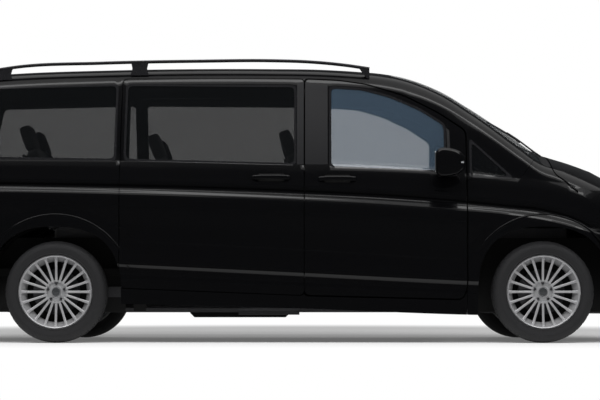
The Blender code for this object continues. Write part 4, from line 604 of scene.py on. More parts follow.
def rear_zone(shares, grow):
    """A prism through the tail from behind."""
    left = [(width * HALF_WIDTH, height * BODY_HEIGHT) for width, height in shares]
    points = rounded(grown(left + [(-y, z) for y, z in reversed(left)], grow), CORNER_RADIUS)
    return prism(points, "X", TAIL_X - OVERRUN, station(REAR_ZONE_SHARE))


def arch_zone(axle_x, side, grow):
    """The wheel arch's opening: a squarish half round, straight below the axle."""
    long = ARCH_HALF_LENGTH + grow
    tall = ARCH_HEIGHT + grow
    points = []
    for step in range(ARCH_STEPS + 1):
        angle = math.pi * step / ARCH_STEPS
        across = math.copysign(abs(math.cos(angle)) ** (2 / ARCH_POWER), math.cos(angle))
        up = math.sin(angle) ** (2 / ARCH_POWER)
        points.append((axle_x + long * across, TYRE_RADIUS + tall * up))
    points.append((axle_x - long, -OVERRUN))
    points.append((axle_x + long, -OVERRUN))
    return prism(points, "Y", *sorted((side * ZONE_INNER_Y, side * (HALF_WIDTH + OVERRUN))))


def patch(depth, low, high, inset=0):
    """A panel-thick part of the skin: what lies in a box."""
    obj = link("patch", shell(depth, inset))
    return cut(obj, box_solid(low, high), "INTERSECT")


def side_patch(depth, side, start, end, inset=0):
    """A panel-thick part of one side between two stations."""
    near, far = sorted((side * SIDE_INNER_SHARE * HALF_WIDTH, side * BODY_WIDTH))
    return patch(depth, (station(start), near, 0), (station(end), far, BODY_HEIGHT + OVERRUN), inset)


def end_patch(depth, start, end, low_z, inset=0):
    """A panel-thick part of the skin over the whole width between two stations."""
    return patch(depth, (station(start), -BODY_WIDTH, low_z),
                 (station(end), BODY_WIDTH, BODY_HEIGHT + OVERRUN), inset)


def skin_shaded(obj):
    """Shades the faces along the skin by the skin's own directions, and the cut edges flat."""
    mesh = obj.data
    if not mesh.polygons:
        return obj
    mesh.polygons.foreach_set("use_smooth", [True] * len(mesh.polygons))
    places = np.zeros(len(mesh.vertices) * 3)
    mesh.vertices.foreach_get("co", places)
    across = skin_normals(places.reshape(-1, 3))
    loop_verts = np.zeros(len(mesh.loops), int)
    mesh.loops.foreach_get("vertex_index", loop_verts)
    starts = np.zeros(len(mesh.polygons), int)
    totals = np.zeros(len(mesh.polygons), int)
    mesh.polygons.foreach_get("loop_start", starts)
    mesh.polygons.foreach_get("loop_total", totals)
    faces = np.zeros(len(mesh.polygons) * 3)
    mesh.polygons.foreach_get("normal", faces)
    flat = np.repeat(faces.reshape(-1, 3), totals, axis=0)
    smooth = across[loop_verts]
    facing = np.sum(smooth * flat, axis=1)
    normals = np.where((np.abs(facing) > ALONG_SKIN)[:, None], smooth * np.sign(facing)[:, None], flat)
    mesh.normals_split_custom_set([tuple(normal) for normal in normals])
    return obj


def smooth_shaded(obj, angle=35):
    """Smooth shading with edges sharper than an angle kept."""
    obj.data.polygons.foreach_set("use_smooth", [True] * len(obj.data.polygons))
    obj.data.set_sharp_from_angle(angle=math.radians(angle))
    return obj


def place(obj, name, material, body, slot, *nodes):
    """Names a piece, gives it its material and body, and hides the nodes that it stands for; its slot is not
    used.
    """
    obj.name = name
    obj.data.name = name
    obj.data.materials.clear()
    obj.data.materials.append(material)
    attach(obj, body)
    if nodes:
        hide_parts(*nodes)
    return obj


def skin_piece(blank, keep, lose, *labels):
    """Cuts a part of the skin to the first forms and clear of the others, and places it."""
    for form in keep:
        cut(blank, form, "INTERSECT")
    for form in lose:
        cut(blank, form, "DIFFERENCE")
    place(skin_shaded(blank), *labels)


# Materials
def node_material(name, colour, roughness, metallic=0, alpha=1, specular=.5, coat=0,
                  coat_roughness=.03):
    """A material, with its node tree and shader."""
    material = bpy.data.materials.new(name)
    material.use_nodes = True
    tree = material.node_tree
    shader = tree.nodes["Principled BSDF"]
    shader.inputs["Base Color"].default_value = (*colour, 1)
    shader.inputs["Roughness"].default_value = roughness
    shader.inputs["Metallic"].default_value = metallic
    shader.inputs["Alpha"].default_value = alpha
    shader.inputs["Specular IOR Level"].default_value = specular
    shader.inputs["Coat Weight"].default_value = coat
    shader.inputs["Coat Roughness"].default_value = coat_roughness
    return material, tree, shader


def pattern(tree, kind, scale, detail=2):
    """A texture in the object's own metres."""
    coordinates = tree.nodes.new("ShaderNodeTexCoord")
    texture = tree.nodes.new(kind)
    texture.inputs["Scale"].default_value = scale
    if "Detail" in texture.inputs:
        texture.inputs["Detail"].default_value = detail
    tree.links.new(coordinates.outputs["Object"], texture.inputs["Vector"])
    return texture


def spread(tree, value, low, high, target):
    """Maps a texture's value to a range and links it."""
    ramp = tree.nodes.new("ShaderNodeMapRange")
    ramp.inputs["To Min"].default_value = low
    ramp.inputs["To Max"].default_value = high
    tree.links.new(value, ramp.inputs["Value"])
    tree.links.new(ramp.outputs["Result"], target)


def tinted(tree, shader, value, dark, light):
    """Varies the base colour between two colours."""
    ramp = tree.nodes.new("ShaderNodeValToRGB")
    ramp.color_ramp.elements[0].color = (*dark, 1)
    ramp.color_ramp.elements[1].color = (*light, 1)
    tree.links.new(value, ramp.inputs["Fac"])
    tree.links.new(ramp.outputs["Color"], shader.inputs["Base Color"])


def bumped(tree, shader, value, distance):
    """Adds a bump from a texture's value."""
    bump = tree.nodes.new("ShaderNodeBump")
    bump.inputs["Distance"].default_value = distance
    bump.inputs["Strength"].default_value = 1
    tree.links.new(value, bump.inputs["Height"])
    tree.links.new(bump.outputs["Normal"], shader.inputs["Normal"])


def paint():
    """Gloss black paint under lacquer, with fine flakes and a faint film of dust."""
    material, tree, shader = node_material("paint_black", (.0020, .0020, .0023), .22, specular=.12,
                                           coat=.38, coat_roughness=.035)
    flakes = pattern(tree, "ShaderNodeTexVoronoi", 900)
    tinted(tree, shader, flakes.outputs["Distance"], (.0030, .0030, .0034), (.0014, .0014, .0017))
    film = pattern(tree, "ShaderNodeTexNoise", 3, 5)
    spread(tree, film.outputs["Fac"], .17, .27, shader.inputs["Roughness"])
    return material


def plain(name, colour, roughness, scale, depth, metallic=0, specular=.5, vary=.35):
    """A material with grain: its colour, roughness and surface vary with a fine noise."""
    material, tree, shader = node_material(name, colour, roughness, metallic, specular=specular)
    grain = pattern(tree, "ShaderNodeTexNoise", scale, 4)
    dark = tuple(part * (1 - vary) for part in colour)
    light = tuple(min(part * (1 + vary), 1) for part in colour)
    tinted(tree, shader, grain.outputs["Fac"], dark, light)
    spread(tree, grain.outputs["Fac"], roughness * .85, min(roughness * 1.15, 1), shader.inputs["Roughness"])
    bumped(tree, shader, grain.outputs["Fac"], depth)
    return material


def glass(name, colour, alpha, specular=.5):
    """Tinted glass with a faint film on it."""
    material, tree, shader = node_material(name, colour, .02, alpha=alpha, specular=specular)
    film = pattern(tree, "ShaderNodeTexNoise", 6, 4)
    spread(tree, film.outputs["Fac"], .01, .05, shader.inputs["Roughness"])
    return material


def cloth_material():
    """Seat cloth: a fine weave over a mottled ground."""
    material, tree, shader = node_material("seat_cloth", (.05, .05, .052), .9)
    shader.inputs["Sheen Weight"].default_value = .3
    weave = pattern(tree, "ShaderNodeTexVoronoi", 420)
    tinted(tree, shader, weave.outputs["Distance"], (.075, .074, .078), (.028, .028, .030))
    bumped(tree, shader, weave.outputs["Distance"], .0006)
    return material


PAINT = paint()
MATTE = plain("trim_matte", (.012, .012, .013), .5, 260, .0002, specular=.3)
GLOSS_TRIM = plain("trim_gloss", (.010, .010, .011), .12, 40, .00001, specular=.4)
DARK = plain("inner_plastic", (.010, .010, .010), .7, 180, .0003, specular=.2)
RUBBER = plain("tyre_rubber", (.018, .018, .019), .72, 320, .0003, specular=.35)
STEEL = plain("bare_steel", (.10, .10, .105), .5, 60, .0004, metallic=.8)
DISC = plain("disc_steel", (.10, .10, .105), .35, 220, .0001, metallic=1, vary=.12)
CAST = plain("cast_grey", (.09, .09, .095), .6, 90, .0006, metallic=.6)
ALLOY = plain("alloy_silver", (.50, .50, .51), .30, 140, .00003, metallic=.5, vary=.06)
LAMP_BOWL = plain("lamp_bowl", (.62, .63, .64), .25, 60, .00002, metallic=.3, vary=.05)
CHROME = plain("chrome", (.75, .76, .77), .08, 30, .00001, metallic=1, vary=.03)
LINING = plain("cabin_lining", (.10, .10, .105), .85, 150, .0004)
DASH = plain("dash_skin", (.022, .022, .023), .6, 500, .0003)
CLOTH = cloth_material()
DARK_GLASS = glass("glass_dark", (.0045, .005, .0055), .52, .35)
LIGHT_GLASS = glass("glass_light", (.055, .085, .12), .38, .6)
SCREEN_GLASS = glass("glass_screen", (.02, .028, .03), .45, 1)
LENS = glass("lens_clear", (.72, .74, .76), .30, 1)
RED_LENS = glass("lens_red", (.35, .004, .004), .8, .8)
PLATE = plain("plate_white", (.70, .70, .68), .35, 60, .00002, vary=.03)


# Body panels
SIDES = (("right", -1), ("left", 1))
DOORS = ((FRONT_DOOR_SHARES, MOVING_GAP), (SLIDING_DOOR_SHARES, SHUT_GAP))


def panels(side, tag):
    """One side: doors, glass, fixed side and fender."""
    door = "front_door_" + tag
    skin_piece(side_patch(DOOR_DEPTH, side, .44, .92), [side_zone(FRONT_DOOR_SHARES, side, -HALF_MOVING)],
               [side_zone(FRONT_GLASS_SHARES, side, 0)],
               "door_front_skin_" + tag, PAINT, door, "paint", door)
    skin_piece(side_patch(DOOR_DEPTH, side, .05, .58), [side_zone(SLIDING_DOOR_SHARES, side, -SHUT_GAP / 2)],
               [side_zone(SLIDING_GLASS_SHARES, side, 0), arch_zone(REAR_AXLE_X, side, PANEL_GAP)],
               "door_sliding_skin_" + tag, PAINT, "root", "paint", "sliding_door_" + tag)
    for name, node, shares, start, end, material, body in (
            ("front_door_", "front_door_glass_", FRONT_GLASS_SHARES, .50, .86, LIGHT_GLASS, door),
            ("sliding_", "sliding_door_glass_", SLIDING_GLASS_SHARES, .06, .56, DARK_GLASS, "root"),
            ("rear_quarter_glass_", "rear_quarter_glass_", REAR_QUARTER_GLASS_SHARES, -1, .25,
             DARK_GLASS, "root"),
            ("front_quarter_glass_", "front_quarter_glass_", FRONT_QUARTER_GLASS_SHARES, .78, 1.1,
             DARK_GLASS, "root")):
        skin_piece(side_patch(GLASS_DEPTH, side, start, end, GLASS_RECESS),
                   [side_zone(shares, side, -FRAME_GAP)], [],
                   "pane_" + name + tag, material, body, "glass", node + tag)
    fixed = side_patch(SIDE_DEPTH, side, -1.1, 1.2)
    for shares, gap in DOORS:
        cut(fixed, side_zone(shares, side, gap / 2), "DIFFERENCE")
    inner = side_patch(PILLAR_DEPTH, side, -.60, .95, DOOR_DEPTH + FRAME_GAP)
    cut(inner, side_zone(FRAME_SHARES, side, 0), "INTERSECT")
    for shares, _ in DOORS:
        cut(inner, side_zone(shares, side, -PILLAR_FLANGE), "DIFFERENCE")
    cut(fixed, inner, "UNION")
    skin_piece(fixed, [], fixed_side_cutters(side),
               "side_skin_" + tag, PAINT, "root", "paint", "body_side_" + tag)
    skin_piece(side_patch(THIN_DEPTH, side, .78, 1.95), [side_zone(FENDER_SHARES, side, -HALF_GAP)],
               [side_zone(FRONT_DOOR_SHARES, side, HALF_MOVING), side_zone(HEADLAMP_SHARES, side, HALF_GAP),
                plan_zone(BONNET_SHARES, HALF_MOVING), plan_zone(SCUTTLE_SHARES, HALF_GAP),
                plan_zone(WINDSCREEN_SHARES, HALF_GAP), arch_zone(FRONT_AXLE_X, side, 0)],
               "fender_skin_" + tag, PAINT, "root", "paint", "fender_" + tag)


def fixed_side_cutters(side):
    """What the fixed side leaves room for."""
    for shares in (ROOF_SHARES, WINDSCREEN_SHARES, SCUTTLE_SHARES):
        yield plan_zone(shares, HALF_GAP)
    yield plan_zone(BONNET_SHARES, HALF_MOVING)
    yield rear_zone(TAILGATE_SHARES, HALF_MOVING)
    for shares in (FENDER_SHARES, REAR_BUMPER_SHARES, TAIL_LAMP_SHARES):
        yield side_zone(shares, side, HALF_GAP)
    for shares in (REAR_QUARTER_GLASS_SHARES, FRONT_QUARTER_GLASS_SHARES):
        yield side_zone(shares, side, 0)
    for axle_x in (REAR_AXLE_X, FRONT_AXLE_X):
        yield arch_zone(axle_x, side, 0)


def centre_panels():
    """Roof, windscreen, scuttle, bonnet, tailgate and bumpers."""
    skin_piece(end_patch(ROOF_DEPTH, -1, .85, ROOF_LOW_SHARE * BODY_HEIGHT),
               [plan_zone(ROOF_SHARES, -HALF_GAP)], [plan_zone(WINDSCREEN_SHARES, HALF_GAP)],
               "roof_skin", PAINT, "root", "paint", "roof_panel")
    low_z = SHOULDER_LINE_SHARES[0][1] * BODY_HEIGHT
    skin_piece(end_patch(GLASS_DEPTH, .5, 1.2, low_z), [plan_zone(WINDSCREEN_SHARES, -HALF_GAP)], [],
               "pane_windscreen", SCREEN_GLASS, "root", "glass", "windscreen")
    skin_piece(end_patch(THIN_DEPTH, .8, 1.3, low_z),
               [plan_zone(SCUTTLE_SHARES, -HALF_GAP)], [plan_zone(WINDSCREEN_SHARES, HALF_GAP)],
               "scuttle_skin", MATTE, "root", "plastic", "scuttle")
    skin_piece(end_patch(THIN_DEPTH, .95, 2.1, HIP_LINE_SHARES[-1][1] * BODY_HEIGHT),
               [plan_zone(BONNET_SHARES, -HALF_MOVING)], [],
               "bonnet_skin", PAINT, "bonnet", "paint", "bonnet")
    low_z = CREASE_LINE_SHARES[0][1] * BODY_HEIGHT
    skin_piece(end_patch(TAILGATE_DEPTH, -1.1, -.5, low_z),
               [rear_zone(TAILGATE_SHARES, -HALF_MOVING), across_zone(TAILGATE_SIDE_SHARES, -MOVING_GAP)],
               [rear_zone(REAR_WINDOW_SHARES, 0)],
               "tailgate_skin", PAINT, "tailgate", "paint", "tailgate")
    skin_piece(end_patch(GLASS_DEPTH, -1.1, -.6, low_z, GLASS_RECESS),
               [rear_zone(REAR_WINDOW_SHARES, -FRAME_GAP)], [],
               "pane_rear_window", DARK_GLASS, "tailgate", "glass", "rear_window")
    intake = box_solid((NOSE_X - .18, -.46, .235), (NOSE_X + .18, .46, .400), .035)
    for name, start, end, shares, axle_x, forms in (
            ("front", 1.1, 2.1, FRONT_BUMPER_SHARES, FRONT_AXLE_X, [intake]),
            ("rear", -1.1, -.1, REAR_BUMPER_SHARES, REAR_AXLE_X, [])):
        skin_piece(end_patch(BUMPER_DEPTH, start, end, 0), [across_zone(shares, -HALF_GAP)],
                   forms + [arch_zone(axle_x, side, 0) for side in (-1, 1)],
                   "bumper_%s_skin" % name, PAINT, "root", "paint", name + "_bumper")


for tag_name, side_sign in SIDES:
    panels(side_sign, tag_name)
centre_panels()


# Lamps, grille and trims
LAMP_BOWLS = ((2.245, .640, .800, .045), (2.165, .745, .830, .036))
BOWL_PROFILE = (
    (0, -.5), (.5, -.42), (.85, -.15), (1, .3), (1.12, .32), (1.12, .1), (1, -.35), (.5, -.62),
    (0, -.7))


def lamps(side, tag):
    """Headlamp and tail lamp of one side: lenses over bright bowls, and the headlamp's lights."""
    inner = GRILLE_WIDTH_SHARE * HALF_WIDTH + HALF_GAP
    for depth, inset, material, slot, name, nodes in (
            (.004, 0, LENS, "lamp", "headlamp_lens_", ("headlamp_" + tag,)),
            (.012, .040, LAMP_BOWL, "plastic", "headlamp_bowl_", ())):
        skin_piece(side_patch(depth, side, 1.1, 2.1, inset),
                   [side_zone(HEADLAMP_SHARES, side, -HALF_GAP, inner)],
                   [plan_zone(BONNET_SHARES, HALF_MOVING)], name + tag, material, "root", slot, *nodes)
    for depth, inset, material, name, nodes in (
            (.004, 0, RED_LENS, "tail_lens_", ("tail_lamp_" + tag,)),
            (.010, .030, CHROME, "tail_bowl_", ())):
        skin_piece(side_patch(depth, side, -1.1, -.4, inset),
                   [side_zone(TAIL_LAMP_SHARES, side, -HALF_GAP)],
                   [rear_zone(TAILGATE_SHARES, HALF_MOVING)],
                   name + tag, material, "root", "red_lamp", *nodes)
    for index, (x, y, z, radius) in enumerate(LAMP_BOWLS):
        bowl = turned(BOWL_PROFILE, 40)
        bowl.data.transform(Matrix.Translation((x, side * y, z))
                            @ Matrix.Rotation(math.pi / 2, 4, "Y") @ Matrix.Scale(radius, 4))
        place(smooth_shaded(bowl), "headlamp_light_%d_%s" % (index, tag), CHROME, "root", "lamp")


def turned(profile, steps):
    """A solid turned about Z from a profile of radius and height."""
    bm = bmesh.new()
    verts = [bm.verts.new((radius, 0, along)) for radius, along in profile]
    edges = [bm.edges.new(pair) for pair in zip(verts, verts[1:])]
    bmesh.ops.spin(bm, geom=verts + edges, cent=(0, 0, 0), axis=(0, 0, 1), angle=2 * math.pi, steps=steps)
    bmesh.ops.remove_doubles(bm, verts=bm.verts, dist=WELD_GAP)
    bmesh.ops.recalc_face_normals(bm, faces=bm.faces)
    return finished(bm, "turned")


def bridge(bm, a, b):
    """Adds the faces between two rings of points."""
    for i in range(len(a)):
        j = (i + 1) % len(a)
        bm.faces.new((a[i], a[j], b[j], b[i]))


def strip(outline, side, start, end, proud=.0012, depth=.0020):
    """A thin trim that lies on the skin inside an outline."""
    piece = side_patch(depth, side, start, end, -proud)
    return cut(piece, prism(outline, "Y", *sorted((side * .3, side * (HALF_WIDTH + OVERRUN)))), "INTERSECT")


B_LINE_X = station(.510)
PILLAR_TRIM = ((B_LINE_X - .048, B_LINE_X - .004), (B_LINE_X + .006, B_LINE_X + .155))
PILLAR_TRIM_LOW = 1.172
PILLAR_TRIM_HIGH = 1.735


def trims(side, tag):
    """Matt pillar strips, window seals and the strip at the front of the door glass."""
    for name, body, (x0, x1), slant in (("sliding", "root", PILLAR_TRIM[0], 0),
                                        ("front", "front_door_" + tag, PILLAR_TRIM[1], .012)):
        piece = strip([(x0, PILLAR_TRIM_LOW), (x1, PILLAR_TRIM_LOW), (x1, PILLAR_TRIM_HIGH - slant),
                       (x0, PILLAR_TRIM_HIGH)], side, .45, .62)
        place(skin_shaded(piece), "pillar_trim_%s_%s" % (name, tag), MATTE, body, "plastic")
    for name, body, shares, start, end in (
            ("front", "front_door_" + tag, FRONT_GLASS_SHARES, .50, .86),
            ("sliding", "root", SLIDING_GLASS_SHARES, .06, .56),
            ("quarter", "root", REAR_QUARTER_GLASS_SHARES, -1, .25),
            ("triangle", "root", FRONT_QUARTER_GLASS_SHARES, .78, 1.1)):
        seal = side_patch(.0035, side, start, end, -.0008)
        cut(seal, side_zone(shares, side, .009), "INTERSECT")
        cut(seal, side_zone(shares, side, -.006), "DIFFERENCE")
        for door, gap in DOORS:
            if name in ("quarter", "triangle"):
                cut(seal, side_zone(door, side, gap / 2), "DIFFERENCE")
            else:
                own = FRONT_DOOR_SHARES if name == "front" else SLIDING_DOOR_SHARES
                if door is own:
                    cut(seal, side_zone(door, side, -gap / 2 - .001), "INTERSECT")
        place(skin_shaded(seal), "window_seal_%s_%s" % (name, tag), GLOSS_TRIM, body, "plastic")
    divider = strip([(1.052, 1.150), (1.072, 1.150), (1.066, 1.400), (1.048, 1.420)], side, .78, .84)
    place(skin_shaded(divider), "glass_divider_" + tag, MATTE, "front_door_" + tag, "plastic")


def grille():
    """The upper grille's frame and bars, and the lower intake's slats."""
    half_width = GRILLE_WIDTH_SHARE * HALF_WIDTH - HALF_GAP
    low = FRONT_BUMPER_SHARES[2][1] * BODY_HEIGHT + HALF_GAP

    def across(half, low_z, high_z, rounding=0):
        return box_solid((0, -half, low_z), (LENGTH, half, high_z), rounding)

    skin_piece(end_patch(.030, 1.3, 2.1, low), [across(half_width, low, BODY_HEIGHT)],
               [plan_zone(BONNET_SHARES, HALF_MOVING), across(half_width - .018, low + .014, .826, .012)],
               "grille_frame", GLOSS_TRIM, "root", "trim", "grille")
    for index in range(4):
        z = low + .030 + index * .021
        skin_piece(end_patch(.016, 1.3, 2.1, low, .006), [across(half_width - .010, z - .0035, z + .0035)],
                   [], "grille_bar_%d" % index, CHROME if index == 3 else GLOSS_TRIM, "root", "trim")
    skin_piece(end_patch(.004, 1.3, 2.1, low, .026), [across(half_width - .012, low + .008, .832)], [],
               "grille_back", DARK, "root", "trim")
    for index in range(5):
        z = .250 + index * .0345
        skin_piece(end_patch(.012, 1.3, 2.1, 0, .016), [across(.47, z - .004, z + .004)], [],
                   "intake_slat_%d" % index, MATTE, "root", "plastic")
    skin_piece(end_patch(.004, 1.3, 2.1, 0, .036), [across(.47, .225, .410)], [],
               "intake_screen", DARK, "root", "plastic")


# Wheels
TREAD_DEPTH = .0065
TREAD_SLOT_STEPS = 6
TREAD_SKEW = 110
TREAD_STEPS = 216
GROOVES = ((-.055, .0045), (-.019, .0055), (.019, .0055), (.055, .0045))
BEAD_RADIUS = .2435
SPOKES = 20


def tyre_profile():
    """The tyre's outer half section, as radius, place and whether it is tread."""
    half = TYRE_WIDTH / 2
    points = [
        (BEAD_RADIUS, .094, 0), (.2470, .1035, 0), (.2500, .1065, 0), (.2530, .1068, 0), (.2560, .1050, 0),
        (.2620, .1068, 0), (.2730, half - .0022, 0), (.2860, half - .0004, 0), (.2880, half, 0),
        (.2885, half - .0012, 0), (.2980, half - .0030, 0), (.3080, half - .0090, 0),
        (.3160, half - .0170, 0), (.3225, half - .0240, 1)]
    side_count = len(points)
    for along, width in reversed(GROOVES):
        for edge, deep in ((along + width + .0006, 0), (along + width, 1), (along - width, 1),
                           (along - width - .0006, 0)):
            crown = .0018 * (edge / half) ** 2 * 4
            points.append((TYRE_RADIUS - .0004 - crown - deep * TREAD_DEPTH, edge, 0 if deep else 1))
    points += [(radius, -along, tread) for radius, along, tread in reversed(points[:side_count])]
    return points


def tyre(name, side, centre, body, node):
    """A tyre with ribs, grooves and tread blocks."""
    profile = tyre_profile()
    bm = bmesh.new()
    rings = []
    for step in range(TREAD_STEPS):
        ring = []
        for radius, along, tread in profile:
            skew = int(abs(along) * TREAD_SKEW)
            sunk = TREAD_DEPTH * .8 if tread and (step + skew) % TREAD_SLOT_STEPS == 0 else 0
            angle = 2 * math.pi * step / TREAD_STEPS
            ring.append(bm.verts.new(((radius - sunk) * math.cos(angle), side * along,
                                      (radius - sunk) * math.sin(angle))))
        rings.append(ring)
    for a, b in zip(rings, rings[1:] + rings[:1]):
        bridge(bm, a, b)
    bmesh.ops.recalc_face_normals(bm, faces=bm.faces)
    bmesh.ops.translate(bm, vec=centre, verts=bm.verts)
    place(smooth_shaded(finished(bm, name), 30), name, RUBBER, body, "rubber", node)


def across_ring(profile, steps, side, centre):
    """A solid turned about the wheel's axis from a profile of radius and outward place."""
    obj = turned(profile, steps)
    obj.data.transform(Matrix.Translation(centre) @ Matrix.Rotation(side * -math.pi / 2, 4, "X"))
    return obj


RIM_PROFILE = (
    (.2425, .0945), (.2425, .0900), (.2360, .0860), (.2300, .0600), (.2080, .0300), (.2050, -.0100),
    (.2280, -.0800), (.2425, -.0890), (.2425, -.0945), (.2380, -.0945), (.2230, -.0780), (.1990, -.0100),
    (.2010, .0340), (.2230, .0640), (.2285, .0850), (.2310, .0915), (.2370, .0950))
HUB_PROFILE = (
    (0, .0440), (.0290, .0440), (.0310, .0500), (.0380, .0500), (.0420, .0440), (.0660, .0440),
    (.0700, .0560), (.0760, .0560), (.0780, .0400), (.0600, .0300), (0, .0300))
CAP_PROFILE = ((0, .0610), (.0220, .0606), (.0265, .0590), (.0280, .0560), (.0280, .0500), (0, .0500))
DISC_PROFILE = (
    (.0500, -.0080), (.1480, -.0080), (.1500, -.0100), (.1500, -.0200), (.1480, -.0220),
    (.1480, -.0240), (.1500, -.0260), (.1500, -.0320), (.1480, -.0340), (.0500, -.0340),
    (.0500, -.0080))
DRUM_PROFILE = ((0, .0320), (.0600, .0320), (.0640, .0280), (.0700, -.0060), (.0700, -.0200), (0, -.0200))
BOLTS = 5
BOLT_RING = .056


def spoke_solid():
    """One spoke, long in X, thick in Z, outward in Y: it tapers and dips between hub and lip."""
    sections = ((.062, .0078, .0560, .026), (.085, .0084, .0535, .026), (.130, .0078, .0570, .024),
                (.180, .0080, .0645, .022), (.212, .0092, .0725, .020), (.233, .0130, .0800, .020))
    bm = bmesh.new()
    rings = []
    for radius, half, face, depth in sections:
        ring = [(-half, face - .0030), (-half * .55, face), (half * .55, face), (half, face - .0030),
                (half * .8, face - depth), (-half * .8, face - depth)]
        rings.append([bm.verts.new((radius, out, z)) for z, out in ring])
    for a, b in zip(rings, rings[1:]):
        bridge(bm, a, b)
    bm.faces.new(rings[0])
    bm.faces.new(rings[-1])
    return bm


def rim(name, side, centre, body, node):
    """An alloy wheel: barrel, lip, twenty thin spokes, hub, cap, bolts, brake disc and drum."""
    barrel = across_ring(RIM_PROFILE, 96, side, centre)
    place(smooth_shaded(barrel, 40), name, ALLOY, body, "alloy", node)
    whole = bmesh.new()
    for index in range(SPOKES):
        one = spoke_solid()
        bmesh.ops.rotate(one, verts=one.verts, cent=(0, 0, 0),
                         matrix=Matrix.Rotation(2 * math.pi * index / SPOKES, 3, "Y"))
        mesh = bpy.data.meshes.new("spoke")
        one.to_mesh(mesh)
        one.free()
        whole.from_mesh(mesh)
    bmesh.ops.recalc_face_normals(whole, faces=whole.faces)
    bmesh.ops.scale(whole, vec=(1, side, 1), verts=whole.verts)
    if side < 0:
        bmesh.ops.reverse_faces(whole, faces=whole.faces)
    bmesh.ops.translate(whole, vec=centre, verts=whole.verts)
    place(smooth_shaded(edged(finished(whole, "spokes"), .0008, 1), 50), name + "_spokes", ALLOY, body,
          "alloy")
    bolts = bmesh.new()
    for index in range(BOLTS):
        angle = 2 * math.pi * (index + .25) / BOLTS
        made = bmesh.ops.create_cone(bolts, cap_ends=True, segments=6, radius1=.0105, radius2=.0090,
                                     depth=.014)
        bmesh.ops.rotate(bolts, verts=made["verts"], cent=(0, 0, 0),
                         matrix=Matrix.Rotation(side * -math.pi / 2, 3, "X"))
        bmesh.ops.translate(bolts, verts=made["verts"],
                            vec=(centre[0] + BOLT_RING * math.cos(angle), centre[1] + side * .0580,
                                 centre[2] + BOLT_RING * math.sin(angle)))
    place(finished(bolts, "bolts"), name + "_bolts", STEEL, body, "alloy")
    for part, profile, steps, angle, material, slot in (
            ("_hub", HUB_PROFILE, 64, 35, ALLOY, "alloy"), ("_cap", CAP_PROFILE, 48, 35, CHROME, "alloy"),
            ("_disc", DISC_PROFILE, 80, 30, DISC, "steel"), ("_drum", DRUM_PROFILE, 48, 35, CAST, "steel")):
        ring = across_ring(profile, steps, side, centre)
        place(smooth_shaded(ring, angle), name + part, material, body, slot)


def caliper(name, side, centre, body):
    """A brake caliper over the disc."""
    points = []
    for radius, turns in ((.158, (-.55, .55)), (.088, (.50, -.50))):
        for step in range(9):
            angle = math.pi + turns[0] + (turns[1] - turns[0]) * step / 8
            points.append((centre[0] + radius * math.cos(angle), centre[2] + radius * math.sin(angle)))
    low, high = sorted((centre[1] + side * .004, centre[1] - side * .052))
    place(smooth_shaded(edged(prism(points, "Y", low, high), .006, 3)), name, CAST, body, "steel")


SHIELD_PROFILE = ((.0750, -.0840), (.2140, -.0840), (.2160, -.0820), (.2140, -.0780), (.1500, -.0740),
                  (.0750, -.0740), (.0750, -.0840))


def apron(side, end, x, where):
    """A dark splash wall inboard of a wheel, with room for the shaft or arm that crosses it."""
    y = .500 if end == "front" else .575
    wall = side_box(side, (x - .430, y, .200), (x + .430, y - .006, .700), .002)
    hole = box_solid((x - .110, -HALF_WIDTH, .240), (x + .110, HALF_WIDTH, .430), .02)
    cut(wall, hole, "DIFFERENCE")
    place(smooth_shaded(wall), "splash_wall_" + where, DARK, "root", "plastic")


ARCH_BEAD_RADIUS = .505


def arch_bead(side, axle_x, turns, name):
    """The raised edge of the flare round a wheel arch."""
    points = []
    for step in range(61):
        angle = math.radians(turns[0] + (turns[1] - turns[0]) * step / 60)
        x = axle_x + ARCH_BEAD_RADIUS * math.cos(angle)
        z = TYRE_RADIUS + ARCH_BEAD_RADIUS * math.sin(angle)
        fade = min(1, step / 12, (60 - step) / 12)
        points.append((x, side * (float(side_half_width(x, z)) - .0115 + .0045 * fade), z))
    place(smooth_shaded(bar_along(points, .0100, 1, 5), 60), name, PAINT, "root", "paint")


def gap_seals(side, tag):
    """A dark seal behind the gap between the front door and the wing."""
    skin_piece(side_patch(.003, side, .78, .92, DOOR_DEPTH + .008),
               [side_box(side, (1.130, .3, .260), (1.215, HALF_WIDTH, 1.130))], [],
               "door_gap_seal_" + tag, DARK, "root", "rubber")


def wheels():
    """Four wheels with their brakes."""
    for tag, side in SIDES:
        for end, x in (("front", FRONT_AXLE_X), ("rear", REAR_AXLE_X)):
            centre = (x, side * WHEEL_Y, TYRE_RADIUS)
            where = "%s_%s" % (end, tag)
            tyre("tread_" + where, side, centre, "wheel_" + where, "tyre_" + where)
            rim("wheel_" + where, side, centre, "wheel_" + where, "rim_" + where)
            carrier = "knuckle_" + tag if end == "front" else "root"
            caliper("caliper_" + where, side, centre, carrier)
            ring = across_ring(SHIELD_PROFILE, 80, side, centre)
            place(smooth_shaded(ring, 30), "shield_" + where, DARK, carrier, "steel")
            apron(side, end, x, where)


# Outer fittings
def bar_along(points, radius, flatten=1, steps=4):
    """A round or flattened bar along points."""
    curve = bpy.data.curves.new("bar", "CURVE")
    curve.dimensions = "3D"
    curve.bevel_depth = radius
    curve.bevel_resolution = steps
    curve.use_fill_caps = True
    spline = curve.splines.new("POLY")
    spline.points.add(len(points) - 1)
    for target, point in zip(spline.points, points):
        target.co = (*point, 1)
    obj = curve_solid(link("bar", curve))
    if flatten != 1:
        middle = points[len(points) // 2][1]
        for vert in obj.data.vertices:
            vert.co.y = middle + (vert.co.y - middle) * flatten
    return obj


RAIL_SHARES = (
    (-.410, .980), (-.290, .9900), (.082, 1.0040), (.291, 1.0110), (.438, 1.0125),
    (.520, 1.0080), (.600, .9950), (.650, .9820))
RAIL_Y = .706 * HALF_WIDTH
RAIL_FOOT_SHARES = (-.370, .165)


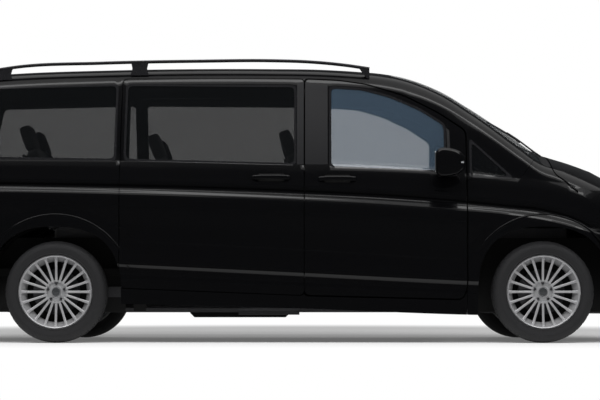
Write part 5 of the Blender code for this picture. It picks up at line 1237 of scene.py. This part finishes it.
def roof_skin(x, y):
    """Height of the roof's skin."""
    found = to_skin(np.array([[x, y, NOSE_EDGE_HEIGHT]]), np.array([[0, 0, 1.0]]), BODY_HEIGHT)
    return float(found[0, 2])


def rail(side, tag):
    """A roof rail on two feet, its ends curving down to the roof."""
    line = smooth_line(RAIL_SHARES, BODY_HEIGHT)
    start, end = station(RAIL_SHARES[0][0]), station(RAIL_SHARES[-1][0])
    y = side * RAIL_Y
    points = []
    for step in range(61):
        x = start + .012 + (end - start - .024) * step / 60
        points.append((x, y, float(line(x)) - .0115))
    for index, (near, far) in enumerate(((start + .012, start + .110), (end - .012, end - .085))):
        fill = [(near, roof_skin(near, y) - .006), (near, float(line(near)) - .013),
                (far, float(line(far)) - .013), ((near * 3 + far) / 4, roof_skin(near, y) - .006)]
        if far < near:
            fill.reverse()
        obj = prism(fill, "Y", y - .0145, y + .0145)
        place(smooth_shaded(obj), "rail_end_%d_%s" % (index, tag), GLOSS_TRIM, "root", "trim")
    bar = bar_along(points, .0110, 1.7)
    place(smooth_shaded(bar, 50), "rail_bar_" + tag, GLOSS_TRIM, "root", "trim", "roof_rail_" + tag)
    for index, share in enumerate(RAIL_FOOT_SHARES):
        x = station(share)
        top = float(line(x)) - .012
        low = roof_skin(x, y) - .006
        middle = (low + top) / 2
        foot = [(x - .062, low), (x + .062, low), (x + .048, middle), (x + .058, top), (x - .058, top),
                (x - .048, middle)]
        obj = edged(prism(rounded(foot, .01), "Y", y - .014, y + .014), .003, 2)
        place(smooth_shaded(obj), "rail_foot_%d_%s" % (index, tag), GLOSS_TRIM, "root", "trim")


def handle(name, side, x, z, body):
    """A bar handle on two feet over a shallow dish."""
    skin = float(side_half_width(x, z))
    reach = skin + .024
    points = []
    for step in range(25):
        t = step / 24 * 2 - 1
        out = reach - .016 * abs(t) ** 6
        points.append((x + t * .118, side * out, z + .002 * (1 - t * t)))
    grip = bar_along(points, .0105, 1)
    for vert in grip.data.vertices:
        vert.co.z = z + (vert.co.z - z) * 1.5
    place(smooth_shaded(grip, 50), name, PAINT, body, "paint")
    for lead in (-1, 1):
        foot = side_box(side, (x + lead * .098 - .020, skin - .006, z - .014),
                        (x + lead * .098 + .020, reach - .004, z + .014), .006)
        place(smooth_shaded(foot), "%s_foot_%d" % (name, lead + 1), PAINT, body, "paint")
    dish = strip([(x - .075 + .014 * math.cos(a) if math.cos(a) < 0 else x + .075 + .014 * math.cos(a),
                   z + .026 * math.sin(a)) for a in (2 * math.pi * i / 40 for i in range(40))], side,
                 (x - REAR_AXLE_X) / WHEELBASE - .05, (x - REAR_AXLE_X) / WHEELBASE + .05, .0008, .0016)
    place(skin_shaded(dish), name + "_dish", DARK, body, "plastic")


def mirror(side, tag):
    """A door mirror: rounded housing, glass, indicator and arm."""
    low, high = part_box("mirror_" + tag)
    outer, inner = (low.y, -1.0) if side < 0 else (high.y, 1.0)
    middle = Vector(((low.x + high.x) / 2, (outer + inner) / 2, (low.z + high.z) / 2))
    size = Vector((high.x - low.x, abs(outer - inner), high.z - low.z))
    bm = bmesh.new()
    bmesh.ops.create_cube(bm, size=1)
    bmesh.ops.subdivide_edges(bm, edges=bm.edges[:], cuts=9, use_grid_fill=True)
    for vert in bm.verts:
        x, y, z = vert.co
        ahead = x + .5
        span = (abs(2 * x) ** 3.6 + abs(2 * y) ** 3.2 + abs(2 * z) ** 3.2) ** (1 / 3.3)
        x, y, z = (part / max(span, 1) for part in (x, y, z))
        vert.co.y = y * (1 - .22 * ahead * ahead)
        vert.co.z = z * (1 - .34 * ahead * ahead)
        vert.co.x = x * .92
    obj = finished(bm, "mirror")
    obj.modifiers.new("round", "SUBSURF").levels = 2
    obj.modifiers["round"].render_levels = 2
    settle(obj)
    extent = [max(abs(vert.co[i]) for vert in obj.data.vertices) for i in range(3)]
    for vert in obj.data.vertices:
        for i in range(3):
            vert.co[i] = middle[i] + vert.co[i] / extent[i] * size[i] / 2 * .995
    body = "front_door_" + tag
    place(smooth_shaded(obj, 60), "mirror_housing_" + tag, PAINT, body, "paint", "mirror_" + tag)
    glass_x = low.x + .0035
    half = size.y / 2 * .80
    tall = size.z / 2 * .74
    pane = prism(rounded([(middle.y - half, middle.z - tall), (middle.y + half, middle.z - tall),
                          (middle.y + half, middle.z + tall), (middle.y - half, middle.z + tall)], .02),
                 "X", glass_x - .003, glass_x + .004)
    place(pane, "mirror_glass_" + tag, CHROME, body, "paint")
    start = float(side_half_width(middle.x, low.z + .05)) - .02
    arm = side_box(side, (middle.x - .075, start, low.z + .008),
                   (middle.x + .055, 1.03, low.z + .060), .016)
    place(smooth_shaded(arm), "mirror_arm_" + tag, MATTE, body, "plastic")
    blinker = side_box(side, (high.x - .034, abs(outer) - .012, middle.z - .010),
                       (high.x - .012, abs(outer) - .090, middle.z + .002), .004)
    place(smooth_shaded(blinker), "mirror_blinker_" + tag, LENS, body, "lamp")


def wipers():
    """Two windscreen wipers, each an arm and a blade."""
    for index, (foot, tip) in enumerate((((1.700, -.10), (1.420, .46)), ((1.690, -.62), (1.380, -.12)))):
        for name, radius, lift, start, end in (("arm", .006, .014, 0, .62), ("blade", .007, .008, .38, 1)):
            points = []
            for step in range(13):
                t = start + (end - start) * step / 12
                x = foot[0] + (tip[0] - foot[0]) * t
                y = foot[1] + (tip[1] - foot[1]) * t
                points.append((x, y, roof_skin(x, y) + lift))
            place(smooth_shaded(bar_along(points, radius)), "wiper_%s_%d" % (name, index), MATTE, "root",
                  "plastic")


for tag_name, side_sign in SIDES:
    gap_seals(side_sign, tag_name)
    arch_bead(side_sign, REAR_AXLE_X, (12, 172), "arch_bead_rear_" + tag_name)
    arch_bead(side_sign, FRONT_AXLE_X, (20, 160), "arch_bead_front_" + tag_name)
    lamps(side_sign, tag_name)
    trims(side_sign, tag_name)
    rail(side_sign, tag_name)
    handle("handle_front_" + tag_name, side_sign, station(.578), 1.076, "front_door_" + tag_name)
    handle("handle_sliding_" + tag_name, side_sign, station(.442), 1.084, "root")
    mirror(side_sign, tag_name)
grille()
wheels()
wipers()


# Seats and cabin
SEAT_LENGTH = .500
CUSHION_DEPTH = .150
BACK_DEPTH = .130
BACK_HEIGHT = .640
BACK_LEAN = math.radians(20)
REST_SIZE = (.180, .255, .092)
SEAT_TABLE = (
    ("front_seat_right", .420, -.400, .520, .760, (0,), .3183),
    ("front_seat_left", .420, .400, .520, .760, (0,), .3183),
    ("second_row_seat", -.480, 0, 1.180, .740, (-.27, .27), .3183),
    ("third_row_seat", -1.360, 0, 1.060, .800, (-.27, .27), .4933))
STEERING_CENTRE = (.6147, .400, .960)
STEERING_RADIUS = .180
COLUMN_TILT = math.radians(66)
HUB_DROP = .012
PLATE_HEIGHT = .83
BUFFER_Y = .300


def pad(name, size, turn, centre, channels, fill, crown=.16, tuck=.03):
    """A cushion: a crowned closed form with sewn channels, its sides pulled in between the corners."""
    bm = bmesh.new()
    bmesh.ops.create_cube(bm, size=2)
    bmesh.ops.subdivide_edges(bm, edges=bm.edges[:], cuts=23, use_grid_fill=True)
    for vert in bm.verts:
        x, y, z = vert.co
        span = (abs(x) ** 7 + abs(y) ** 7 + abs(z) ** 5) ** (1 / 6.6)
        top = max(0, (1 - x * x) * (1 - y * y))
        px, py, pz = (part / max(span, 1) for part in (x, y, z))
        pull = 1 - tuck * (1 - y * y)
        pile = 1 - crown + crown * top
        groove = 0
        for axis, place_share, width in channels:
            along = x if axis == "X" else y
            groove = max(groove, math.exp(-((along - place_share) / width) ** 2))
        depth = .075 * groove * (z > .2)
        vert.co = (px * pull * size[0] / 2, py * (1 - tuck * (1 - x * x)) * size[1] / 2,
                   (pz * pile - depth) * size[2] / 2)
    obj = finished(bm, name)
    obj.data.transform(Matrix.Translation(centre) @ turn.to_4x4())
    round_off = obj.modifiers.new("soft", "SUBSURF")
    round_off.levels = 1
    round_off.render_levels = 1
    settle(obj)
    return obj, fill


def seat(node, x, y, width, top, rests, floor_top):
    """A seat: base, slide, shells, and padded cushion, back and headrests."""
    upright = Matrix.Identity(3)
    lean = Matrix.Rotation(-BACK_LEAN, 3, "Y")
    stand = lean @ Matrix.Rotation(math.pi / 2, 3, "Y")
    middle = top - CUSHION_DEPTH / 2
    foot = Vector((x - SEAT_LENGTH / 2 + BACK_DEPTH / 2, y, middle))
    seams = [("Y", -.66, .030), ("Y", .66, .030), ("X", -.30, .020), ("X", .05, .020), ("X", .40, .020)]
    if width > 1:
        seams = [("Y", 0, .014), ("Y", -.82, .016), ("Y", .82, .016), ("Y", -.20, .016), ("Y", .20, .016),
                 ("X", -.20, .020), ("X", .30, .020)]
    cushion = pad(node + "_cushion", (SEAT_LENGTH * .99, width * .99, CUSHION_DEPTH * .98), upright,
                  (x, y, middle), seams, .8)
    pieces = [cushion]
    back = pad(node + "_back", (BACK_HEIGHT * .97, width * .965, BACK_DEPTH * .98), stand,
               foot + lean @ Vector((0, 0, BACK_HEIGHT / 2)), seams, .8)
    pieces.append(back)
    for index, share in enumerate(rests):
        centre = foot + Vector((0, share * width, 0)) + lean @ Vector((0, 0, BACK_HEIGHT + .065))
        pieces.append(pad("%s_rest_%d" % (node, index), REST_SIZE, stand, centre, [("X", .0, .03)], .9))
        for post in (-.05, .05):
            start = centre + Vector((0, post, 0))
            rod_points = [tuple(start + lean @ Vector((0, 0, -.13))), tuple(start)]
            place(smooth_shaded(bar_along(rod_points, .006)), "%s_post_%d_%d" % (node, index, post > 0),
                  CHROME, "root", "steel")
    for index, (obj, fill) in enumerate(pieces):
        place(smooth_shaded(obj, 180), obj.name, CLOTH, "root", "cloth", *((node,) if index == 0 else ()))
    shell_back = box_solid((-.010, -width * .46, .06), (.006, width * .46, BACK_HEIGHT - .04), .004)
    shell_back.data.transform((Matrix.Translation(foot + lean @ Vector((-BACK_DEPTH / 2 + .008, 0, 0)))
                               @ lean.to_4x4()))
    place(smooth_shaded(shell_back), node + "_shell", LINING, "root", "plastic")
    base_low = (x - SEAT_LENGTH * .38, y - width * .36, floor_top + .028)
    base = box_solid(base_low, (x + SEAT_LENGTH * .38, y + width * .36, middle - .035), .02)
    place(smooth_shaded(base), node + "_base", LINING, "root", "plastic")
    for index, share in enumerate((-.30, .30)):
        track = box_solid((x - SEAT_LENGTH * .39, y + share * width - .018, floor_top),
                          (x + SEAT_LENGTH * .39, y + share * width + .018, floor_top + .030), .003)
        place(smooth_shaded(track), "%s_track_%d" % (node, index), STEEL, "root", "steel")
        for lead in (-1, 1):
            bolt = box_solid((x + lead * .185 - .010, y + share * width - .010, floor_top + .029),
                             (x + lead * .185 + .010, y + share * width + .010, floor_top + .037), .002)
            place(smooth_shaded(bolt), "%s_bolt_%d_%d" % (node, index, lead + 1), STEEL, "root", "steel")


def steering_wheel():
    """The steering wheel: rim, hub and three spokes."""
    tilt = Matrix.Rotation(-COLUMN_TILT, 3, "Y")
    axis = tilt @ Vector((0, 0, 1))
    centre = Vector(STEERING_CENTRE)
    points = []
    for step in range(65):
        angle = 2 * math.pi * step / 64
        points.append(tuple(centre + tilt @ Vector((math.cos(angle), math.sin(angle), 0)) * STEERING_RADIUS))
    place(smooth_shaded(bar_along(points, .0155, 1, 6), 60), "steering_wheel_rim", DASH, "root", "plastic")
    hub = box_solid((-.055, -.065, -.030), (.055, .065, .012), .018, 4)
    hub.data.transform(Matrix.Translation(centre - axis * HUB_DROP) @ tilt.to_4x4())
    place(smooth_shaded(hub), "steering_wheel_hub", DASH, "root", "plastic")
    for index, turn in enumerate((.25, .75, 0)):
        angle = turn * 2 * math.pi
        outer = centre + tilt @ Vector((math.cos(angle), math.sin(angle), 0)) * STEERING_RADIUS
        inner = centre - axis * HUB_DROP
        place(smooth_shaded(bar_along([tuple(inner), tuple((inner + outer) / 2), tuple(outer)], .0085)),
              "steering_wheel_spoke_%d" % index, CAST, "root", "plastic")


def back_details():
    """The blank plate, its lamp bar and the tailgate's two rubber buffers."""
    x = tail_reach(0, PLATE_HEIGHT)
    for index, (low, high, material) in enumerate((
            ((x - .0125, -.168, .742), (x - .004, .168, .918), MATTE),
            ((x - .0150, -.160, .750), (x - .0115, .160, .910), PLATE))):
        place(smooth_shaded(box_solid(low, high, .003)), "rear_plate_%d" % index, material, "tailgate",
              "plastic")
    bar = box_solid((x - .022, -.250, .930), (x - .002, .250, .962), .006)
    place(smooth_shaded(bar), "plate_lamp_bar", CHROME, "tailgate", "trim")
    for side in (-1, 1):
        y = side * BUFFER_Y
        foot = tail_reach(BUFFER_Y, .650)
        buffer = box_solid((foot + .006, y - .025, .612), (foot + .030, y + .025, .6540), .004)
        place(smooth_shaded(buffer), "gate_buffer_%d" % (side + 1), RUBBER, "root", "rubber")


for seat_row in SEAT_TABLE:
    seat(*seat_row)
steering_wheel()
back_details()


# Camera, floor and light
CAMERA_PLACE = (.1777, -14, .3142)
CAMERA_YAW = -.0075
CAMERA_PITCH = .0476
CAMERA_LENS = 119.7
SENSOR_WIDTH = 36
SIGHT = 200


def aimed(name, data, location, direction):
    """A camera or lamp at a place, looking along a direction."""
    obj = link(name, data)
    obj.location = location
    obj.rotation_mode = "QUATERNION"
    obj.rotation_quaternion = direction.to_track_quat("-Z", "Y")
    return obj


def camera():
    """The photograph's camera."""
    data = bpy.data.cameras.new("camera")
    data.lens = CAMERA_LENS
    data.sensor_width = SENSOR_WIDTH
    data.clip_end = SIGHT
    forward = Vector((math.sin(CAMERA_YAW) * math.cos(CAMERA_PITCH),
                      math.cos(CAMERA_YAW) * math.cos(CAMERA_PITCH), math.sin(CAMERA_PITCH)))
    bpy.context.scene.camera = aimed("camera", data, CAMERA_PLACE, forward)


def area(name, location, target, size, power):
    """A soft rectangular lamp."""
    data = bpy.data.lights.new(name, "AREA")
    data.shape = "RECTANGLE"
    data.size, data.size_y = size
    data.energy = power
    return aimed(name, data, location, Vector(target) - Vector(location))


# Painted light on the floor: its glow lifts the shadow under the car and fades the shadow into white farther
# out, over an ellipse round the car.
FLOOR_REACH = (4.6, 5.2)
FLOOR_LEAD = 1.4
PAINTED_SHADOW_LIFT = .13
SHADOW_EDGE = .72
WHITE_EDGE = 1.25
CARD_HEIGHT = 24
CARD_GLOW = .05
CARDS = (
    ("card_near", (-22, -17.1, .02), (22, -17, CARD_HEIGHT)),
    ("card_far", (-22, 17, .02), (22, 17.1, CARD_HEIGHT)),
    ("card_front", (22, -17, .02), (22.1, 17, CARD_HEIGHT)),
    ("card_back", (-22.1, -17, .02), (-22, 17, CARD_HEIGHT)),
    ("floor_card_near", (-22, -17, .010), (22, -1.12, .012)),
    ("floor_card_far", (-22, 1.12, .010), (22, 17, .012)),
    ("floor_card_front", (2.8, -1.12, .010), (22, 1.12, .012)),
    ("floor_card_back", (-22, -1.12, .010), (-2.8, 1.12, .012)))
WORLD_LIGHT = .26
KEY_POWER = 560
SOFTBOX_POWER = 130


def seen_rays(tree):
    """One for rays from the camera, from gloss or through glass, otherwise nought."""
    path = tree.nodes.new("ShaderNodeLightPath")
    first = tree.nodes.new("ShaderNodeMath")
    second = tree.nodes.new("ShaderNodeMath")
    for node in (first, second):
        node.operation = "MAXIMUM"
    tree.links.new(path.outputs["Is Camera Ray"], first.inputs[0])
    tree.links.new(path.outputs["Is Glossy Ray"], first.inputs[1])
    tree.links.new(first.outputs["Value"], second.inputs[0])
    tree.links.new(path.outputs["Is Transmission Ray"], second.inputs[1])
    return second.outputs["Value"]


def floor_and_light():
    """A white floor that keeps the shadow under painted light, which lifts the shadow near the car and glows
    white farther out; a white world, soft lamps and dark cards for the gloss.
    """
    bm = bmesh.new()
    bmesh.ops.create_grid(bm, x_segments=1, y_segments=1, size=60)
    ground = finished(bm, "floor")
    material, tree, shader = node_material("floor_white", (.94, .94, .94), .9, specular=0)
    ground.data.materials.append(material)
    # Painted light: emission seen by camera, gloss and glass rays, weak near the car and full white farther
    # out.
    painted_light = tree.nodes.new("ShaderNodeEmission")
    mix = tree.nodes.new("ShaderNodeMixShader")
    coordinates = tree.nodes.new("ShaderNodeTexCoord")
    shape = tree.nodes.new("ShaderNodeMapping")
    shape.inputs["Scale"].default_value = (1 / FLOOR_REACH[0], 1 / FLOOR_REACH[1], 1)
    shape.inputs["Location"].default_value = (0, -FLOOR_LEAD / FLOOR_REACH[1], 0)
    length = tree.nodes.new("ShaderNodeVectorMath")
    length.operation = "LENGTH"
    far = tree.nodes.new("ShaderNodeMapRange")
    far.interpolation_type = "SMOOTHSTEP"
    far.inputs["From Min"].default_value = SHADOW_EDGE
    far.inputs["From Max"].default_value = WHITE_EDGE
    far.inputs["To Min"].default_value = PAINTED_SHADOW_LIFT
    tree.links.new(coordinates.outputs["Object"], shape.inputs["Vector"])
    tree.links.new(shape.outputs["Vector"], length.inputs[0])
    tree.links.new(length.outputs["Value"], far.inputs["Value"])
    seen = tree.nodes.new("ShaderNodeMath")
    seen.operation = "MULTIPLY"
    tree.links.new(far.outputs["Result"], seen.inputs[0])
    tree.links.new(seen_rays(tree), seen.inputs[1])
    tree.links.new(seen.outputs["Value"], mix.inputs["Fac"])
    tree.links.new(shader.outputs["BSDF"], mix.inputs[1])
    tree.links.new(painted_light.outputs["Emission"], mix.inputs[2])
    tree.links.new(mix.outputs["Shader"], tree.nodes["Material Output"].inputs["Surface"])
    card_material, tree, shader = node_material("card_dark", (.02, .02, .02), 1, specular=0)
    shader.inputs["Emission Color"].default_value = (.92, .96, 1, 1)
    shader.inputs["Emission Strength"].default_value = CARD_GLOW
    for name, low, high in CARDS:
        card = box_solid(low, high)
        card.name = name
        card.data.materials.append(card_material)
        card.visible_camera = False
        card.visible_diffuse = False
        card.visible_transmission = False
        card.visible_shadow = False
    world = bpy.data.worlds.new("studio")
    world.use_nodes = True
    tree = world.node_tree
    background = tree.nodes["Background"]
    strength = tree.nodes.new("ShaderNodeMapRange")
    strength.inputs["To Min"].default_value = WORLD_LIGHT
    strength.inputs["To Max"].default_value = 1
    tree.links.new(seen_rays(tree), strength.inputs["Value"])
    tree.links.new(strength.outputs["Result"], background.inputs["Strength"])
    background.inputs["Color"].default_value = (1, 1, 1, 1)
    bpy.context.scene.world = world
    key = area("key_light", (0, -6, 5.6), (0, 0, .3), (12, 2.6), KEY_POWER)
    key.visible_glossy = False
    area("softbox", (0, -3.0, 6.6), (0, 0, .6), (13, .7), SOFTBOX_POWER)


camera()
floor_and_light()

for body_node, material in (("floor_pan", DARK), ("engine", CAST), ("exhaust", STEEL), ("fuel_tank", DARK),
                            ("front_subframe", CAST), ("rear_axle", CAST), ("knuckle_left", CAST),
                            ("knuckle_right", CAST), ("dashboard", DASH)):
    mesh_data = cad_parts[body_node].data
    mesh_data.materials.clear()
    mesh_data.materials.append(material)

scene = bpy.context.scene
scene.view_settings.view_transform = "Standard"
